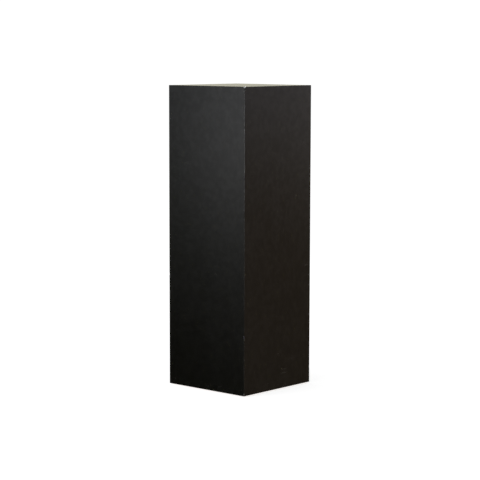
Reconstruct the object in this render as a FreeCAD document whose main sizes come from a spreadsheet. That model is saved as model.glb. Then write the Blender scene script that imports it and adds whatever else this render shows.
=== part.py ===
import FreeCAD, Part

import os
import re

import Sketcher
from FreeCAD import Placement, Rotation, Vector

# A square display plinth: five mitred boards round a batten frame, a base board
# that comes off, and four levelling feet. Millimetres, +Z up, front face at -Y.
# The origin is on the floor, under the middle of the plinth.

# Driving dimensions. Every other size is a formula of these.
SIZES = {
    # Shell
    "width": 300,
    "depth": 300,
    "height": 900,
    "board": 18,
    "arris_radius": 1.5,
    "floor_gap": 3,
    # Biscuits, and the room that their slots leave round them
    "biscuit_length": 47,
    "biscuit_width": 15,
    "biscuit_thickness": 3.8,
    "biscuit_tip": 3,
    "biscuit_setback": 9,
    "biscuit_margin": 90,
    "biscuit_rows": 5,
    "cap_biscuit_pitch": 130,
    "slot_end_play": 3.6,
    "slot_depth_play": 1,
    "slot_side_play": 0.1,
    # Batten frame
    "batten": 25,
    "batten_play": 0.5,
    # Countersunk wood screws, and how far they bite past what they hold
    "board_bite": 10,
    "batten_bite": 17,
    "screw_shank": 3.6,
    "screw_head": 7.6,
    "screw_head_depth": 2.6,
    "screw_point": 6,
    "rail_screw_pitch": 80,
    "post_screw_margin": 60,
    "post_screw_rows": 4,
    "post_screw_stagger": 30,
    "pair_screw_pitch": 120,
    # Base board
    "base_thickness": 18,
    "base_play": 1,
    # Tee nuts
    "nut_flange": 22,
    "nut_flange_thickness": 1.6,
    "nut_barrel": 10,
    "nut_barrel_length": 10,
    "nut_barrel_play": 0.1,
    "prong_length": 7,
    "prong_width": 3,
    "prong_thickness": 1.4,
    "prong_inset": 0.8,
    # Levelling feet
    "foot_inset": 15,
    "pad_diameter": 32,
    "pad_height": 8,
    "pad_rim": 3,
    "pad_neck": 19,
    "pad_chamfer": 0.8,
    "socket_floor": 3.2,
    "socket_lip": 1,
    "swivel_disc": 12,
    "swivel_play": 0.2,
    "spanner_gap": 0.5,
    "hex_height": 5.5,
    "hex_across_flats": 13,
    "stop_gap": 0.4,
    "stud": 8,
    "stud_length": 26,
    "stud_chamfer": 1,
    "thread_play": 0.06,
}

# Places that several sub-parts share.
INNER_X = "(width / 2 - board)"
INNER_Y = "(depth / 2 - board)"
CAP_LEVEL = "(height - board)"
HEX_LEVEL = "(pad_height + spanner_gap)"
BASE_LEVEL = f"({HEX_LEVEL} + hex_height + stop_gap + nut_flange_thickness)"
BASE_TOP = f"({BASE_LEVEL} + base_thickness)"
INTO_BOARD = "(batten + board_bite)"
INTO_BATTEN = "(base_thickness + batten_bite)"
FOOT_X = f"({INNER_X} - batten - foot_inset)"
FOOT_Y = f"({INNER_Y} - batten - foot_inset)"

# Sketch formula of a point on an axis, and the sketch's names for its own axes.
ON_AXIS = "0"
SKETCH_X_AXIS = -1
SKETCH_Y_AXIS = -2

SIDES = {"front": 0, "right": 90, "back": 180, "left": 270}
CORNERS = {"front_left": (-1, -1), "front_right": (1, -1), "back_left": (-1, 1), "back_right": (1, 1)}

doc = FreeCAD.newDocument("DisplayPlinth")
parts = []


def make_sheet():
    """Put the driving dimensions in a spreadsheet, one aliased cell each."""
    sheet = doc.addObject("Spreadsheet::Sheet", "Sizes")
    for row, (alias, value) in enumerate(SIZES.items(), start=1):
        sheet.set(f"A{row}", alias)
        sheet.set(f"B{row}", str(value))
        sheet.setAlias(f"B{row}", alias)
    doc.recompute()


def sized(formula):
    """Turn a formula of size names into an expression that reads the sheet."""
    return re.sub(r"[a-z_]{3,}", lambda word: sheet_name(word.group()), formula)


def sheet_name(word):
    return f"Sizes.{word}" if word in SIZES else word


def bind(item, formulas):
    for path, formula in formulas.items():
        item.setExpression(path, sized(formula))


def place(item, x_formula, y_formula, z_formula, rotation=Rotation()):
    item.Placement = Placement(Vector(), rotation)
    bind(item, {
        "Placement.Base.x": x_formula,
        "Placement.Base.y": y_formula,
        "Placement.Base.z": z_formula,
    })


def publish(item, label):
    """Label a finished sub-part; the label is also its file's name."""
    item.Label = label
    parts.append(item)


# ---------------------------------------------------------------- sketches

def new_body(label):
    body = doc.addObject("PartDesign::Body", label)
    body.AllowCompound = True
    return body


def datum(body, role):
    return next(item for item in body.Origin.OriginFeatures if item.Role == role)


def new_sketch(body, plane, offset=("0", "0", "0"), rotation=Rotation()):
    """Open a sketch on one of the body's own planes, moved and turned within it."""
    sketch = body.newObject("Sketcher::SketchObject", f"{body.Name}_sketch")
    sketch.AttachmentSupport = [(datum(body, plane), "")]
    sketch.MapMode = "FlatFace"
    sketch.AttachmentOffset = Placement(Vector(), rotation)
    for axis, formula in zip("xyz", offset):
        bind(sketch, {f"AttachmentOffset.Base.{axis}": formula})
    return sketch


def pin(sketch, edge, vertex, rough, x_formula, y_formula):
    """Fix one end of an edge, drawn at a rough point, to the place that two formulas give."""
    choices = (
        ("DistanceX", rough.x, x_formula, SKETCH_Y_AXIS),
        ("DistanceY", rough.y, y_formula, SKETCH_X_AXIS),
    )
    for kind, drawn, formula, axis in choices:
        if formula == ON_AXIS:
            sketch.addConstraint(Sketcher.Constraint("PointOnObject", edge, vertex, axis))
        else:
            index = sketch.addConstraint(Sketcher.Constraint(kind, edge, vertex, drawn))
            bind(sketch, {f"Constraints[{index}]": formula})


def draw_polygon(sketch, corners):
    """Draw a closed outline of straight sides; a corner is a pair of formulas."""
    count = len(corners)
    start = sketch.GeometryCount
    rough = [Rotation(Vector(0, 0, 1), 360 * step / count).multVec(Vector(10, 3, 0)) for step in range(count)]
    for step in range(count):
        sketch.addGeometry(Part.LineSegment(rough[step], rough[(step + 1) % count]), False)
    for step in range(count):
        following = start + (step + 1) % count
        sketch.addConstraint(Sketcher.Constraint("Coincident", start + step, 2, following, 1))
    for step, (x_formula, y_formula) in enumerate(corners):
        pin(sketch, start + step, 1, rough[step], x_formula, y_formula)


def draw_rectangle(sketch, low_x, high_x, low_y, high_y):
    draw_polygon(sketch, [(low_x, low_y), (high_x, low_y), (high_x, high_y), (low_x, high_y)])


def draw_lens(sketch, half_length, half_width, half_tip):
    """Draw a biscuit outline along X: two arcs joined by short blunt tips."""
    rise = f"({half_width} - {half_tip})"
    radius = f"({rise} * {rise} + {half_length} * {half_length}) / (2 * {rise})"
    rough = [Vector(25, -1, 0), Vector(25, 1, 0), Vector(-25, 1, 0), Vector(-25, -1, 0)]
    signs = [("", "-"), ("", ""), ("-", ""), ("-", "-")]
    bulges = {1: Vector(0, 8, 0), 3: Vector(0, -8, 0)}
    for step in range(4):
        ends = (rough[step], rough[(step + 1) % 4])
        if step in bulges:
            sketch.addGeometry(Part.Arc(ends[0], bulges[step], ends[1]), False)
        else:
            sketch.addGeometry(Part.LineSegment(*ends), False)
    for step in range(4):
        sketch.addConstraint(Sketcher.Constraint("Coincident", step, 2, (step + 1) % 4, 1))
    for step, (side_x, side_y) in enumerate(signs):
        pin(sketch, step, 1, rough[step], f"{side_x}{half_length}", f"{side_y}{half_tip}")
    for arc in bulges:
        index = sketch.addConstraint(Sketcher.Constraint("Radius", arc, sketch.Geometry[arc].Radius))
        bind(sketch, {f"Constraints[{index}]": radius})


def extrude(body, sketch, length, symmetric=False):
    pad = body.newObject("PartDesign::Pad", f"{body.Name}_pad")
    pad.Profile = sketch
    pad.SideType = "Symmetric" if symmetric else "One side"
    bind(pad, {"Length": length})
    return pad


def revolve(body, sketch):
    turned = body.newObject("PartDesign::Revolution", f"{body.Name}_revolution")
    turned.Profile = sketch
    turned.ReferenceAxis = (sketch, ["V_Axis"])
    turned.Angle = 360
    return turned


def repeat(body, features, rows, mirrors):
    """Repeat features in rows (axis, span, count), then mirror them across the body's planes."""
    pattern = body.newObject("PartDesign::MultiTransform", f"{body.Name}_pattern")
    pattern.Originals = features
    steps = []
    for axis, span, count in rows:
        row = doc.addObject("PartDesign::LinearPattern", f"{body.Name}_row")
        row.Direction = (datum(body, axis), [""])
        bind(row, {"Length": span, "Occurrences": count})
        steps.append(row)
    for plane in mirrors:
        mirror = doc.addObject("PartDesign::Mirrored", f"{body.Name}_mirror")
        mirror.MirrorPlane = (datum(body, plane), [""])
        steps.append(mirror)
    pattern.Transformations = steps
    body.Tip = pattern
    doc.recompute()


# ---------------------------------------------------------------- biscuits

def corner_lenses(label, half_length, half_width, half_tip, thickness):
    """Lens shapes across the four upright mitres, in even rows up each one."""
    body = new_body(label)
    diagonal = "biscuit_setback / sqrt(2)"
    across_mitre = Rotation(Vector(0, 1, 0), 45)
    upright = Rotation(Vector(0, 0, 1), 90)
    offset = (f"{INNER_X} + {diagonal}", "floor_gap + biscuit_margin", f"{INNER_Y} + {diagonal}")
    sketch = new_sketch(body, "XZ_Plane", offset, across_mitre * upright)
    draw_lens(sketch, half_length, half_width, half_tip)
    lens = extrude(body, sketch, thickness, symmetric=True)
    rows = [("Z_Axis", "height - floor_gap - 2 * biscuit_margin", "biscuit_rows")]
    repeat(body, [lens], rows, ["XZ_Plane", "YZ_Plane"])
    return body


def cap_lenses(label, half_length, half_width, half_tip, thickness):
    """Lens shapes across the four top mitres, a pair to each."""
    body = new_body(label)
    diagonal = "biscuit_setback / sqrt(2)"
    across_mitre = Rotation(Vector(1, 0, 0), -45)
    edges = (
        ("XZ_Plane", INNER_Y, "X_Axis"),
        ("YZ_Plane", INNER_X, "Y_Axis"),
    )
    for plane, reach, axis in edges:
        offset = ("-cap_biscuit_pitch / 2", f"{CAP_LEVEL} + {diagonal}", f"{reach} + {diagonal}")
        sketch = new_sketch(body, plane, offset, across_mitre)
        draw_lens(sketch, half_length, half_width, half_tip)
        lens = extrude(body, sketch, thickness, symmetric=True)
        repeat(body, [lens], [(axis, "cap_biscuit_pitch", "2")], [plane])
    return body


def biscuit_outline():
    return "(biscuit_length / 2)", "(biscuit_width / 2)", "(biscuit_tip / 2)", "biscuit_thickness"


def slot_outline():
    """The pocket that two boards share for one biscuit."""
    half_length = "(biscuit_length / 2 + slot_end_play)"
    half_width = "(biscuit_width / 2 + slot_depth_play)"
    return half_length, half_width, "(biscuit_tip / 2)", "biscuit_thickness + 2 * slot_side_play"


# ---------------------------------------------------------------- screws

def draw_screw(sketch, length):
    """Half of a countersunk screw, its head's face at the sketch origin, pointing down."""
    draw_polygon(sketch, [
        ("0", "0"),
        ("screw_head / 2", "0"),
        ("screw_shank / 2", "-screw_head_depth"),
        ("screw_shank / 2", f"screw_point - {length}"),
        ("0", f"-{length}"),
    ])


def add_screws(body, length, plane, turn, offset, rows, mirrors):
    sketch = new_sketch(body, plane, offset, Rotation(Vector(0, 0, 1), turn))
    draw_screw(sketch, length)
    repeat(body, [revolve(body, sketch)], rows, mirrors)


def rail_screws(label, level):
    """Three screws through each of four level battens into the boards behind them."""
    body = new_body(label)
    span = "2 * rail_screw_pitch"
    front = ("-rail_screw_pitch", f"batten - {INNER_Y}", level)
    right = (f"{INNER_X} - batten", "-rail_screw_pitch", level)
    add_screws(body, INTO_BOARD, "XY_Plane", 0, front, [("X_Axis", span, "3")], ["XZ_Plane"])
    add_screws(body, INTO_BOARD, "XY_Plane", 90, right, [("Y_Axis", span, "3")], ["YZ_Plane"])
    return body


def post_screws(label):
    """Rows of screws through the corner battens, the two directions staggered."""
    body = new_body(label)
    low = f"{BASE_TOP} + batten + post_screw_margin"
    span = f"{CAP_LEVEL} - {BASE_TOP} - 2 * batten - 2 * post_screw_margin - post_screw_stagger"
    rows = [("Z_Axis", span, "post_screw_rows")]
    corners = ["XZ_Plane", "YZ_Plane"]
    to_front = (f"{INNER_X} - batten / 2", f"batten - {INNER_Y}", low)
    to_right = (f"{INNER_X} - batten", f"batten / 2 - {INNER_Y}", f"{low} + post_screw_stagger")
    add_screws(body, INTO_BOARD, "XY_Plane", 0, to_front, rows, corners)
    add_screws(body, INTO_BOARD, "XY_Plane", 90, to_right, rows, corners)
    return body


def upward_screws(label, length, level):
    """Pairs of screws pointing up along the middle of each level batten."""
    body = new_body(label)
    first = "-pair_screw_pitch / 2"
    front = (first, level, f"{INNER_Y} - batten / 2")
    right = (first, level, f"{INNER_X} - batten / 2")
    add_screws(body, length, "XZ_Plane", 180, front, [("X_Axis", "pair_screw_pitch", "2")], ["XZ_Plane"])
    add_screws(body, length, "YZ_Plane", 180, right, [("Y_Axis", "pair_screw_pitch", "2")], ["YZ_Plane"])
    return body


# ---------------------------------------------------------------- boards and battens

def bundle(name, items):
    group = doc.addObject("Part::Compound", name)
    group.Links = items
    return group


def cut(name, blank, tools):
    shape = doc.addObject("Part::Cut", name)
    shape.Base = blank
    shape.Tool = bundle(f"{name}_tools", tools)
    return shape


def outer_form():
    """The whole outside of the shell, its upright and top edges rounded."""
    body = new_body("outer_form")
    sketch = new_sketch(body, "XY_Plane", ("0", "0", "floor_gap"))
    draw_rectangle(sketch, "-width / 2", "width / 2", "-depth / 2", "depth / 2")
    block = extrude(body, sketch, "height - floor_gap")
    doc.recompute()
    floor = block.Shape.BoundBox.ZMin
    edges = enumerate(block.Shape.Edges, start=1)
    exposed = [f"Edge{index}" for index, edge in edges if edge.BoundBox.ZMax > floor + 1]
    rounding = body.newObject("PartDesign::Fillet", "outer_form_rounding")
    rounding.Base = (block, exposed)
    bind(rounding, {"Radius": "arris_radius"})
    body.Tip = rounding
    return body


def mitred_board(label, half_length, low, high, low_cutback):
    """A board with its outer face at local Y 0 and its edges cut back behind it at 45 degrees."""
    blank = doc.addObject("Part::Wedge", f"{label}_blank")
    bind(blank, {
        "Xmin": f"-{half_length}", "Xmax": half_length,
        "X2min": f"board - {half_length}", "X2max": f"{half_length} - board",
        "Zmin": low, "Zmax": high,
        "Z2min": f"{low} + {low_cutback}", "Z2max": f"{high} - board",
        "Ymin": "0", "Ymax": "board",
    })
    return blank


def finish_board(label, blank, tools, form):
    """Cut the slots and screw holes in a board and round its outer edges."""
    board = doc.addObject("Part::Common", label)
    board.Base = cut(f"{label}_cut", blank, tools)
    board.Tool = form
    publish(board, label)


def make_shell(tools, form):
    """The four sides, square at the bottom, and the top, mitred all round."""
    for side, turn in SIDES.items():
        facing_y = side in ("front", "back")
        half_length = "(width / 2)" if facing_y else "(depth / 2)"
        reach = "depth / 2" if facing_y else "width / 2"
        sign = "-" if side in ("front", "left") else ""
        blank = mitred_board(f"{side}_panel", half_length, "floor_gap", "height", "0")
        x_formula, y_formula = ("0", f"{sign}{reach}") if facing_y else (f"{sign}{reach}", "0")
        place(blank, x_formula, y_formula, "0", Rotation(Vector(0, 0, 1), turn))
        finish_board(f"{side}_panel", blank, tools, form)
    blank = mitred_board("top_panel", "(width / 2)", "-depth / 2", "depth / 2", "board")
    place(blank, "0", "0", "height", Rotation(Vector(1, 0, 0), -90))
    finish_board("top_panel", blank, tools, form)


def batten(label, sizes, low_corner, tools):
    blank = doc.addObject("Part::Box", f"{label}_blank")
    bind(blank, dict(zip(("Length", "Width", "Height"), sizes)))
    place(blank, *low_corner)
    publish(cut(label, blank, tools), label)


def batten_ring(prefix, level, tools):
    """Four level battens: two run the full width, two fit between them."""
    long_rail = (f"2 * ({INNER_X} - batten_play)", "batten", "batten")
    short_rail = ("batten", f"2 * ({INNER_Y} - batten - batten_play)", "batten")
    long_x = f"batten_play - {INNER_X}"
    short_y = f"batten + batten_play - {INNER_Y}"
    batten(f"{prefix}_batten_front", long_rail, (long_x, f"-{INNER_Y}", level), tools)
    batten(f"{prefix}_batten_back", long_rail, (long_x, f"{INNER_Y} - batten", level), tools)
    batten(f"{prefix}_batten_left", short_rail, (f"-{INNER_X}", short_y, level), tools)
    batten(f"{prefix}_batten_right", short_rail, (f"{INNER_X} - batten", short_y, level), tools)


def corner_battens(tools):
    post = ("batten", "batten", f"{CAP_LEVEL} - {BASE_TOP} - 2 * batten - 2 * batten_play")
    level = f"{BASE_TOP} + batten + batten_play"
    for corner, (side_x, side_y) in CORNERS.items():
        x_formula = f"-{INNER_X}" if side_x < 0 else f"{INNER_X} - batten"
        y_formula = f"-{INNER_Y}" if side_y < 0 else f"{INNER_Y} - batten"
        batten(f"corner_batten_{corner}", post, (x_formula, y_formula, level), tools)


# ---------------------------------------------------------------- base and feet

def make_tee_nuts():
    """Four pronged tee nuts, flanges against the underside of the base board."""
    body = new_body("tee_nuts")
    bore = "(stud / 2 + thread_play)"
    turned = new_sketch(body, "XZ_Plane", (FOOT_X, BASE_LEVEL, FOOT_Y))
    draw_polygon(turned, [
        (bore, "-nut_flange_thickness"),
        ("nut_flange / 2", "-nut_flange_thickness"),
        ("nut_flange / 2", "0"),
        ("nut_barrel / 2", "0"),
        ("nut_barrel / 2", "nut_barrel_length"),
        (bore, "nut_barrel_length"),
    ])
    barrel = revolve(body, turned)
    flange = new_sketch(body, "XY_Plane", (FOOT_X, f"-{FOOT_Y}", BASE_LEVEL))
    outer = "(nut_flange / 2 - prong_inset)"
    inner = f"({outer} - prong_thickness)"
    half = "(prong_width / 2)"
    draw_rectangle(flange, inner, outer, f"-{half}", half)
    draw_rectangle(flange, f"-{outer}", f"-{inner}", f"-{half}", half)
    draw_rectangle(flange, f"-{half}", half, inner, outer)
    draw_rectangle(flange, f"-{half}", half, f"-{outer}", f"-{inner}")
    prongs = extrude(body, flange, "prong_length")
    repeat(body, [barrel, prongs], (), ["XZ_Plane", "YZ_Plane"])
    publish(body, "tee_nuts")
    return body


def make_base_board(nuts, screws):
    """The base board, bored for the tee nuts' barrels and cut by prongs and screws."""
    body = new_body("base_blank")
    sheet = new_sketch(body, "XY_Plane", ("0", "0", BASE_LEVEL))
    reach_x = f"({INNER_X} - base_play)"
    reach_y = f"({INNER_Y} - base_play)"
    draw_rectangle(sheet, f"-{reach_x}", reach_x, f"-{reach_y}", reach_y)
    extrude(body, sheet, "base_thickness")
    doc.recompute()
    drilling = new_sketch(body, "XY_Plane", (FOOT_X, f"-{FOOT_Y}", BASE_LEVEL))
    drilling.addGeometry(Part.Circle(Vector(), Vector(0, 0, 1), 5), False)
    drilling.addConstraint(Sketcher.Constraint("Coincident", 0, 3, -1, 1))
    index = drilling.addConstraint(Sketcher.Constraint("Radius", 0, 5.0))
    bind(drilling, {f"Constraints[{index}]": "nut_barrel / 2 + nut_barrel_play"})
    bore = body.newObject("PartDesign::Pocket", "base_bore")
    bore.Profile = drilling
    bore.SideType = "One side"
    bore.Reversed = True
    bind(bore, {"Length": "base_thickness"})
    repeat(body, [bore], (), ["XZ_Plane", "YZ_Plane"])
    publish(cut("base_board", body, [nuts, screws]), "base_board")


def make_pad(corner, x_formula, y_formula):
    """The nylon pad of a foot: a cone with a lipped socket for the stud's disc."""
    body = new_body(f"foot_pad_{corner}")
    socket = "(swivel_disc / 2 + swivel_play)"
    mouth = "(stud / 2 + 2 * swivel_play)"
    sketch = new_sketch(body, "XZ_Plane")
    draw_polygon(sketch, [
        ("0", "0"),
        ("pad_diameter / 2 - pad_chamfer", "0"),
        ("pad_diameter / 2", "pad_chamfer"),
        ("pad_diameter / 2", "pad_rim"),
        ("pad_neck / 2", "pad_height"),
        (mouth, "pad_height"),
        (mouth, "pad_height - socket_lip"),
        (socket, "pad_height - socket_lip"),
        (socket, "socket_floor"),
        ("0", "socket_floor"),
    ])
    revolve(body, sketch)
    place(body, x_formula, y_formula, "0")
    publish(body, f"foot_pad_{corner}")


def make_stud(corner, x_formula, y_formula):
    """The steel stud of a foot: swivel disc, neck, spanner hexagon and screwed shank."""
    body = new_body(f"foot_stud_{corner}")
    hex_top = f"({HEX_LEVEL} + hex_height)"
    tip = f"({hex_top} + stud_length)"
    turned = new_sketch(body, "XZ_Plane")
    draw_polygon(turned, [
        ("0", "socket_floor + swivel_play"),
        ("swivel_disc / 2", "socket_floor + swivel_play"),
        ("swivel_disc / 2", "pad_height - socket_lip - swivel_play"),
        ("stud / 2", "pad_height - socket_lip - swivel_play"),
        ("stud / 2", f"{tip} - stud_chamfer"),
        ("stud / 2 - stud_chamfer", tip),
        ("0", tip),
    ])
    revolve(body, turned)
    hexagon = new_sketch(body, "XY_Plane", ("0", "0", HEX_LEVEL))
    flat = "(hex_across_flats / 2)"
    point = "(hex_across_flats / sqrt(3))"
    draw_polygon(hexagon, [
        (point, "0"),
        (f"{point} / 2", flat),
        (f"-{point} / 2", flat),
        (f"-{point}", "0"),
        (f"-{point} / 2", f"-{flat}"),
        (f"{point} / 2", f"-{flat}"),
    ])
    extrude(body, hexagon, "hex_height")
    place(body, x_formula, y_formula, "0")
    publish(body, f"foot_stud_{corner}")


# ---------------------------------------------------------------- the plinth

def build():
    make_sheet()
    outline = biscuit_outline()
    biscuits = [corner_lenses("corner_biscuits", *outline), cap_lenses("top_biscuits", *outline)]
    outline = slot_outline()
    slots = [corner_lenses("corner_slots", *outline), cap_lenses("top_slots", *outline)]

    base_rail_screws = rail_screws("base_batten_screws", f"{BASE_TOP} + batten / 2")
    top_rail_screws = rail_screws("top_batten_screws", f"{CAP_LEVEL} - batten / 2")
    corner_screws = post_screws("corner_batten_screws")
    cap_screws = upward_screws("cap_screws", INTO_BOARD, f"{CAP_LEVEL} - batten")
    base_screws = upward_screws("base_board_screws", INTO_BATTEN, BASE_LEVEL)

    board_screws = [base_rail_screws, top_rail_screws, corner_screws, cap_screws]
    for body in biscuits + board_screws + [base_screws]:
        publish(body, body.Name)
    make_shell(slots + board_screws, outer_form())
    batten_ring("base", BASE_TOP, [base_rail_screws, base_screws])
    batten_ring("top", f"{CAP_LEVEL} - batten", [top_rail_screws, cap_screws])
    corner_battens([corner_screws])

    make_base_board(make_tee_nuts(), base_screws)
    for corner, (side_x, side_y) in CORNERS.items():
        x_formula = f"{side_x} * {FOOT_X}"
        y_formula = f"{side_y} * {FOOT_Y}"
        make_pad(corner, x_formula, y_formula)
        make_stud(corner, x_formula, y_formula)
    doc.recompute()


def check():
    """Stop if any object failed, or if a sub-part has no sound solid."""
    failed = [item.Name for item in doc.Objects if "Invalid" in item.State or "Error" in item.State]
    if failed:
        raise RuntimeError(f"failed objects: {failed}")
    for part in parts:
        if part.Shape.isNull() or not part.Shape.isValid() or not part.Shape.Solids:
            raise RuntimeError(f"unsound sub-part: {part.Label}")


def write():
    os.makedirs("parts", exist_ok=True)
    for part in parts:
        part.Shape.exportStep(f"parts/{part.Label}.step")
        print(f"{part.Label}: {len(part.Shape.Solids)} solids, {part.Shape.Volume:.0f} mm3")


build()
check()
write()
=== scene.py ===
"""A square display plinth in satin black paint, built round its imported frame.

Each sub-assembly is a class that takes its places from the frame's boxes, models its
pieces with edit-mode operators and dresses them in procedural finishes.
"""

import itertools
import logging
import math
from collections.abc import Callable, Iterator, Sequence
from contextlib import contextmanager
from dataclasses import dataclass, field
from enum import Enum

import bmesh
import bpy
from mathutils import Matrix, Vector


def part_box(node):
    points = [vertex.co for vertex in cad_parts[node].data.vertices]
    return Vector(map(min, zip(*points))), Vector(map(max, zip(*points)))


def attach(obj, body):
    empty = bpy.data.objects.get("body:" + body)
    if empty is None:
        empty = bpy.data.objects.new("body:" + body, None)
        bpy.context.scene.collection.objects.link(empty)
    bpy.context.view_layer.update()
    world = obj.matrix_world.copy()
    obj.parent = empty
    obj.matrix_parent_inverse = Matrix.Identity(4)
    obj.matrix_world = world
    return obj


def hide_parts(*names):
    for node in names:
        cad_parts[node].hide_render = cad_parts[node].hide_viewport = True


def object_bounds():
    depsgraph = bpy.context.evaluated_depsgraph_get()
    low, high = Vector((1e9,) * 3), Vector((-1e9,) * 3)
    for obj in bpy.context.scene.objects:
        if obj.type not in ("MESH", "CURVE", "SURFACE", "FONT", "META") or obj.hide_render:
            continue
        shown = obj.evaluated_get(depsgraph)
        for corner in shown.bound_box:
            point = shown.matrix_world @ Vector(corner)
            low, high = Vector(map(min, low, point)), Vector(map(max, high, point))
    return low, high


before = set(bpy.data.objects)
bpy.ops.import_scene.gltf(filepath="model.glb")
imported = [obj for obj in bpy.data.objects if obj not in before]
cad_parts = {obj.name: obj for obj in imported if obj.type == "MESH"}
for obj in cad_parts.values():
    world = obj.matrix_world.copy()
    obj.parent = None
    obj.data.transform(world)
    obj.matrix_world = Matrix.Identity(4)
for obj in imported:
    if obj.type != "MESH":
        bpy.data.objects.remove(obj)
CAD_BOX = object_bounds()

log = logging.getLogger("plinth")

Colour = tuple[float, float, float]
Span = tuple[float, float]
Socket = bpy.types.NodeSocket
Piece = bpy.types.Object

UP = Vector((0.0, 0.0, 1.0))
WELD = 1e-6
SMOOTH_BELOW = 40.0
ALIGNED = 0.9


class Slot(Enum):
    """Names of material slots; nothing in this script assigns them."""

    PAINTED = "painted_board"
    SOFTWOOD = "softwood"
    BEECH = "beech"
    ZINC = "zinc_plated_steel"
    NYLON = "black_nylon"


class Side(Enum):
    """The four upright sides, each with its outward direction."""

    FRONT = (0, -1)
    RIGHT = (1, 0)
    BACK = (0, 1)
    LEFT = (-1, 0)

    @property
    def outward(self) -> Vector:
        """The side's outward normal."""
        return Vector((*self.value, 0.0))

    @property
    def node(self) -> str:
        """The CAD node of the side's panel."""
        return f"{self.name.lower()}_panel"


class Corner(Enum):
    """The four corners, each with its signs along X and Y."""

    FRONT_LEFT = (-1, -1)
    FRONT_RIGHT = (1, -1)
    BACK_LEFT = (-1, 1)
    BACK_RIGHT = (1, 1)

    @property
    def suffix(self) -> str:
        """The ending that the corner gives to node and body names."""
        return self.name.lower()


# ------------------------------------------------------------------ workshop


@contextmanager
def editing(piece: Piece) -> Iterator[bmesh.types.BMesh]:
    """Hold a piece in edit mode with nothing selected.

    Args:
        piece: The mesh object to edit.

    Returns:
        Its live edit mesh.
    """
    only(piece)
    bpy.ops.object.mode_set(mode="EDIT")
    bpy.ops.mesh.select_mode(type="FACE")
    bpy.ops.mesh.select_all(action="DESELECT")
    yield bmesh.from_edit_mesh(piece.data)
    bpy.ops.object.mode_set(mode="OBJECT")


def only(*pieces: Piece) -> None:
    """Select these pieces alone, and make the first one active.

    Args:
        *pieces: The objects to select.
    """
    if bpy.context.mode != "OBJECT":
        bpy.ops.object.mode_set(mode="OBJECT")
    bpy.ops.object.select_all(action="DESELECT")
    for piece in pieces:
        piece.select_set(True)
    bpy.context.view_layer.objects.active = pieces[0]


def settle(piece: Piece) -> None:
    """Move a piece's place, turn and size into its mesh.

    Args:
        piece: The object to settle at the origin.
    """
    only(piece)
    bpy.ops.object.transform_apply(location=True, rotation=True, scale=True)


def name_piece(piece: Piece, name: str) -> Piece:
    """Give an object and its mesh one name.

    Args:
        piece: The object to name.
        name: The name that both take.

    Returns:
        The same object.
    """
    piece.name = name
    piece.data.name = name
    return piece


def primitive(add: Callable[..., object], name: str, **settings: object) -> Piece:
    """Add a primitive at its place, alone and settled.

    Args:
        add: The operator that adds it.
        name: The new object's name.
        **settings: Its size and place.

    Returns:
        The primitive, settled at the origin.
    """
    bpy.ops.object.select_all(action="DESELECT")
    add(**settings)
    piece = name_piece(bpy.context.object, name)
    settle(piece)
    return piece


def apply_modifier(piece: Piece, kind: str, **settings: object) -> None:
    """Add a modifier to a piece, set it and apply it.

    Args:
        piece: The object to change.
        kind: The modifier's type.
        **settings: Its properties.
    """
    only(piece)
    modifier = piece.modifiers.new(kind.lower(), kind)
    for name, value in settings.items():
        setattr(modifier, name, value)
    bpy.ops.object.modifier_apply(modifier=modifier.name)


def discard(*pieces: Piece) -> None:
    """Remove pieces that have done their work."""
    for piece in pieces:
        bpy.data.objects.remove(piece)


def block(name: str, low: Sequence[float], high: Sequence[float]) -> Piece:
    """Add a box between two corners.

    Args:
        name: The new object's name.
        low: Its lowest corner.
        high: Its highest corner.

    Returns:
        The box, settled at the origin.
    """
    low, high = Vector(low), Vector(high)
    cube = bpy.ops.mesh.primitive_cube_add
    return primitive(cube, name, size=1.0, location=(low + high) / 2, scale=high - low)


def rod(name: str, radius: float, base: Sequence[float], height: float, sides: int) -> Piece:
    """Add an upright cylinder on a base point.

    Args:
        name: The new object's name.
        radius: Its radius.
        base: The middle of its lower end.
        height: Its length along Z.
        sides: How many facets it has.

    Returns:
        The cylinder, settled at the origin.
    """
    centre = Vector(base) + UP * height / 2
    cylinder = bpy.ops.mesh.primitive_cylinder_add
    return primitive(cylinder, name, vertices=sides, radius=radius, depth=height, location=centre)


def outline(name: str, points: Sequence[Sequence[float]], links: Sequence[tuple[int, int]]) -> Piece:
    """Draw the edges that a turned or wound piece starts from.

    Args:
        name: The new object's name.
        points: The corners.
        links: The numbers of the corners that each edge joins.

    Returns:
        The edges, at the origin.
    """
    mesh = bpy.data.meshes.new(name)
    mesh.from_pydata(points, links, [])
    piece = bpy.data.objects.new(name, mesh)
    bpy.context.scene.collection.objects.link(piece)
    return piece


def seal(piece: Piece) -> None:
    """Merge a piece's doubled corners and point its faces outwards.

    Args:
        piece: The object to seal.
    """
    with editing(piece):
        bpy.ops.mesh.select_all(action="SELECT")
        bpy.ops.mesh.remove_doubles(threshold=WELD)
        bpy.ops.mesh.normals_make_consistent(inside=False)


def lathe(name: str, profile: Sequence[tuple[float, float]], steps: int, ring: bool = False) -> Piece:
    """Spin a profile round Z into a closed turned piece.

    Args:
        name: The new object's name.
        profile: Radius and height of each point, from the axis at the bottom to the axis at the top.
        steps: How many facets go round.
        ring: Whether the profile closes on itself away from the axis.

    Returns:
        The turned piece, at the origin.
    """
    points = [(radius, 0.0, height) for radius, height in profile]
    links = [(step, step + 1) for step in range(len(points) - 1)]
    piece = outline(name, points, links + [(len(points) - 1, 0)] * ring)
    with editing(piece):
        bpy.ops.mesh.select_all(action="SELECT")
        bpy.ops.mesh.spin(steps=steps, angle=math.tau, center=(0, 0, 0), axis=UP)
    seal(piece)
    return piece


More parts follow.
